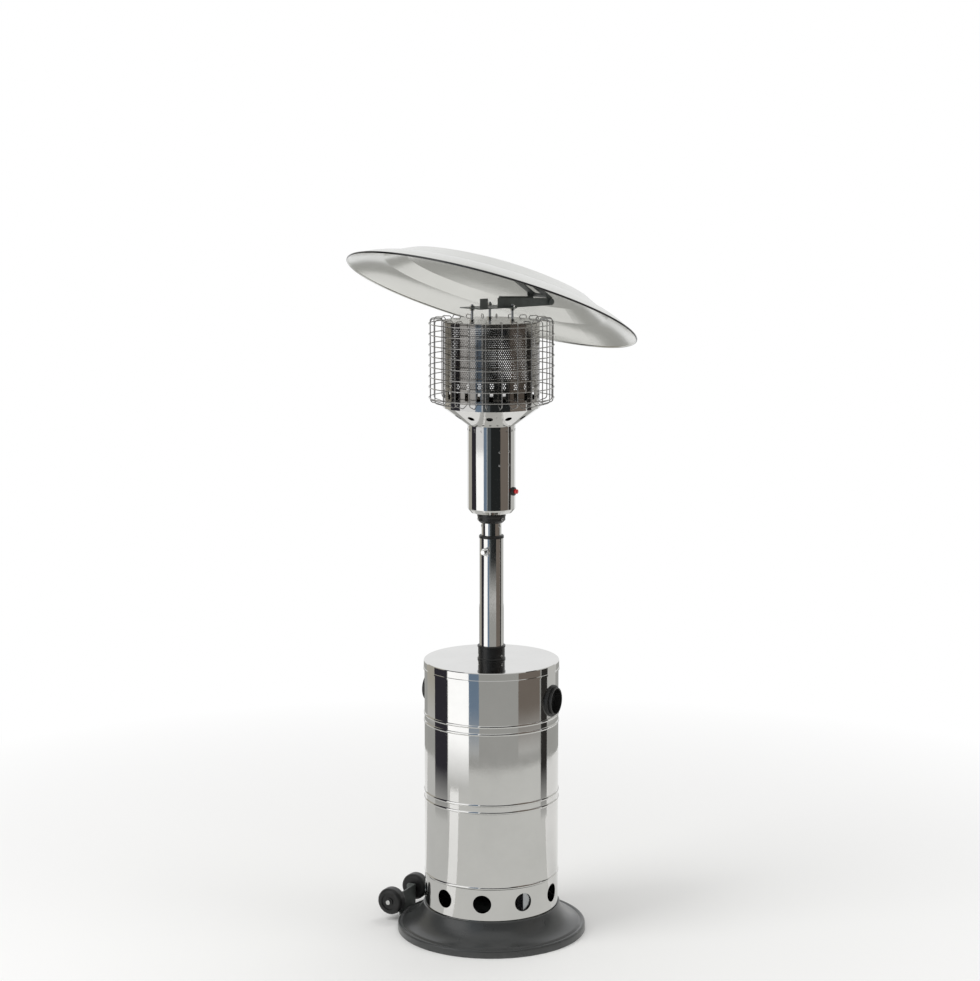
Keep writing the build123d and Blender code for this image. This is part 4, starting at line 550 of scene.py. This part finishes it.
def floor_mesh():
    """A disc in rings, wider apart as they go out."""
    points, faces = [(0, 0, 0)], []
    for ring, reach in enumerate(FLOOR_RINGS):
        for k in range(FLOOR_SIDES):
            turn = 2 * math.pi * k / FLOOR_SIDES
            points.append((reach * math.cos(turn), reach * math.sin(turn), 0))
        for k in range(FLOOR_SIDES):
            a = 1 + ring * FLOOR_SIDES + k
            b = 1 + ring * FLOOR_SIDES + (k + 1) % FLOOR_SIDES
            faces.append((a - FLOOR_SIDES, a, b, b - FLOOR_SIDES) if ring else (0, a, b))
    data = bpy.data.meshes.new("floor")
    data.from_pydata(points, [], faces)
    return data


def floor():
    """A pale floor that runs out into the white background."""
    ground = linked("floor", floor_mesh())
    material = bpy.data.materials.new("floor")
    material.use_nodes = True
    tree = material.node_tree
    shader = tree.nodes["Principled BSDF"]
    shader.inputs["Base Color"].default_value = (0.90, 0.90, 0.89, 1)
    shader.inputs["Roughness"].default_value = 0.9
    shader.inputs["Specular IOR Level"].default_value = 0.1
    glow = tree.nodes.new("ShaderNodeEmission")
    glow.inputs["Color"].default_value = (1, 1, 1, 1)
    geometry = tree.nodes.new("ShaderNodeNewGeometry")
    reach = vector_step(tree, "LENGTH", geometry.outputs["Position"]).outputs["Value"]
    fade = ranged(tree, reach, 0.0, 1.0, FLOOR_FADE_START, FLOOR_FADE_END)
    path = tree.nodes.new("ShaderNodeLightPath")
    glossy = calculated(tree, "MULTIPLY", path.outputs["Is Glossy Ray"], FLOOR_GLOSSY_SHARE)
    seen = calculated(tree, "MAXIMUM", path.outputs["Is Camera Ray"], glossy)
    mixed_surface(tree, calculated(tree, "MULTIPLY", seen, fade), shader.outputs[0], glow.outputs[0],
                  tree.nodes["Material Output"])
    ground.data.materials.append(material)


def background(tree, color, strength):
    """A background shader."""
    node = tree.nodes.new("ShaderNodeBackground")
    node.inputs["Color"].default_value = (*color, 1)
    node.inputs["Strength"].default_value = strength
    return node.outputs[0]


def studio_world():
    """Soft light all round, which the camera, mirrors and glass see as plain white."""
    world = bpy.data.worlds.new("studio")
    bpy.context.scene.world = world
    world.use_nodes = True
    tree = world.node_tree
    tree.nodes.clear()
    soft = background(tree, (1.0, 0.995, 0.985), 0.55)
    white = background(tree, (1, 1, 1), 1.0)
    path = tree.nodes.new("ShaderNodeLightPath")
    seen = calculated(tree, "MAXIMUM", path.outputs["Is Camera Ray"], path.outputs["Is Glossy Ray"])
    seen = calculated(tree, "MAXIMUM", seen, path.outputs["Is Transmission Ray"])
    mixed_surface(tree, seen, soft, white, tree.nodes.new("ShaderNodeOutputWorld"))


def lamp(name, azimuth, elevation, distance, size, power, target=(0, 0, 0.9)):
    """A soft box; its azimuth is in degrees from the camera's side, to the right."""
    turn, rise = math.radians(CAMERA_SIDE + azimuth), math.radians(elevation)
    back = Vector((math.cos(turn) * math.cos(rise), math.sin(turn) * math.cos(rise), math.sin(rise)))
    data = bpy.data.lights.new(name, "AREA")
    data.shape = "RECTANGLE"
    data.size, data.size_y = size
    data.energy = power
    light = linked(name, data)
    light.location = Vector(target) + back * distance
    light.rotation_euler = (-back).to_track_quat("-Z", "Y").to_euler()
    light.visible_glossy = False


floor()
studio_world()
lamp("key", -60, 38, 3.2, (1.6, 2.4), 55)
lamp("fill", 70, 20, 3.6, (1.8, 2.4), 26)
lamp("top", 150, 62, 3.4, (1.8, 1.8), 22)


# Camera

camera_data = bpy.data.cameras.new("camera")
camera = linked("camera", camera_data)
camera.location = from_camera_side(0, CAMERA_DISTANCE, CAMERA_HEIGHT)
camera.rotation_euler = Euler((math.radians(90 - CAMERA_PITCH), 0, math.radians(CAMERA_AZIMUTH)), "XYZ")
camera_data.sensor_width = 36.0
camera_data.lens = CAMERA_LENS
camera_data.shift_x = CAMERA_SHIFT_X
camera_data.shift_y = CAMERA_SHIFT_Y
camera_data.clip_start = 0.1
camera_data.clip_end = 200.0
bpy.context.scene.camera = camera

bpy.context.scene.view_settings.view_transform = "Standard"
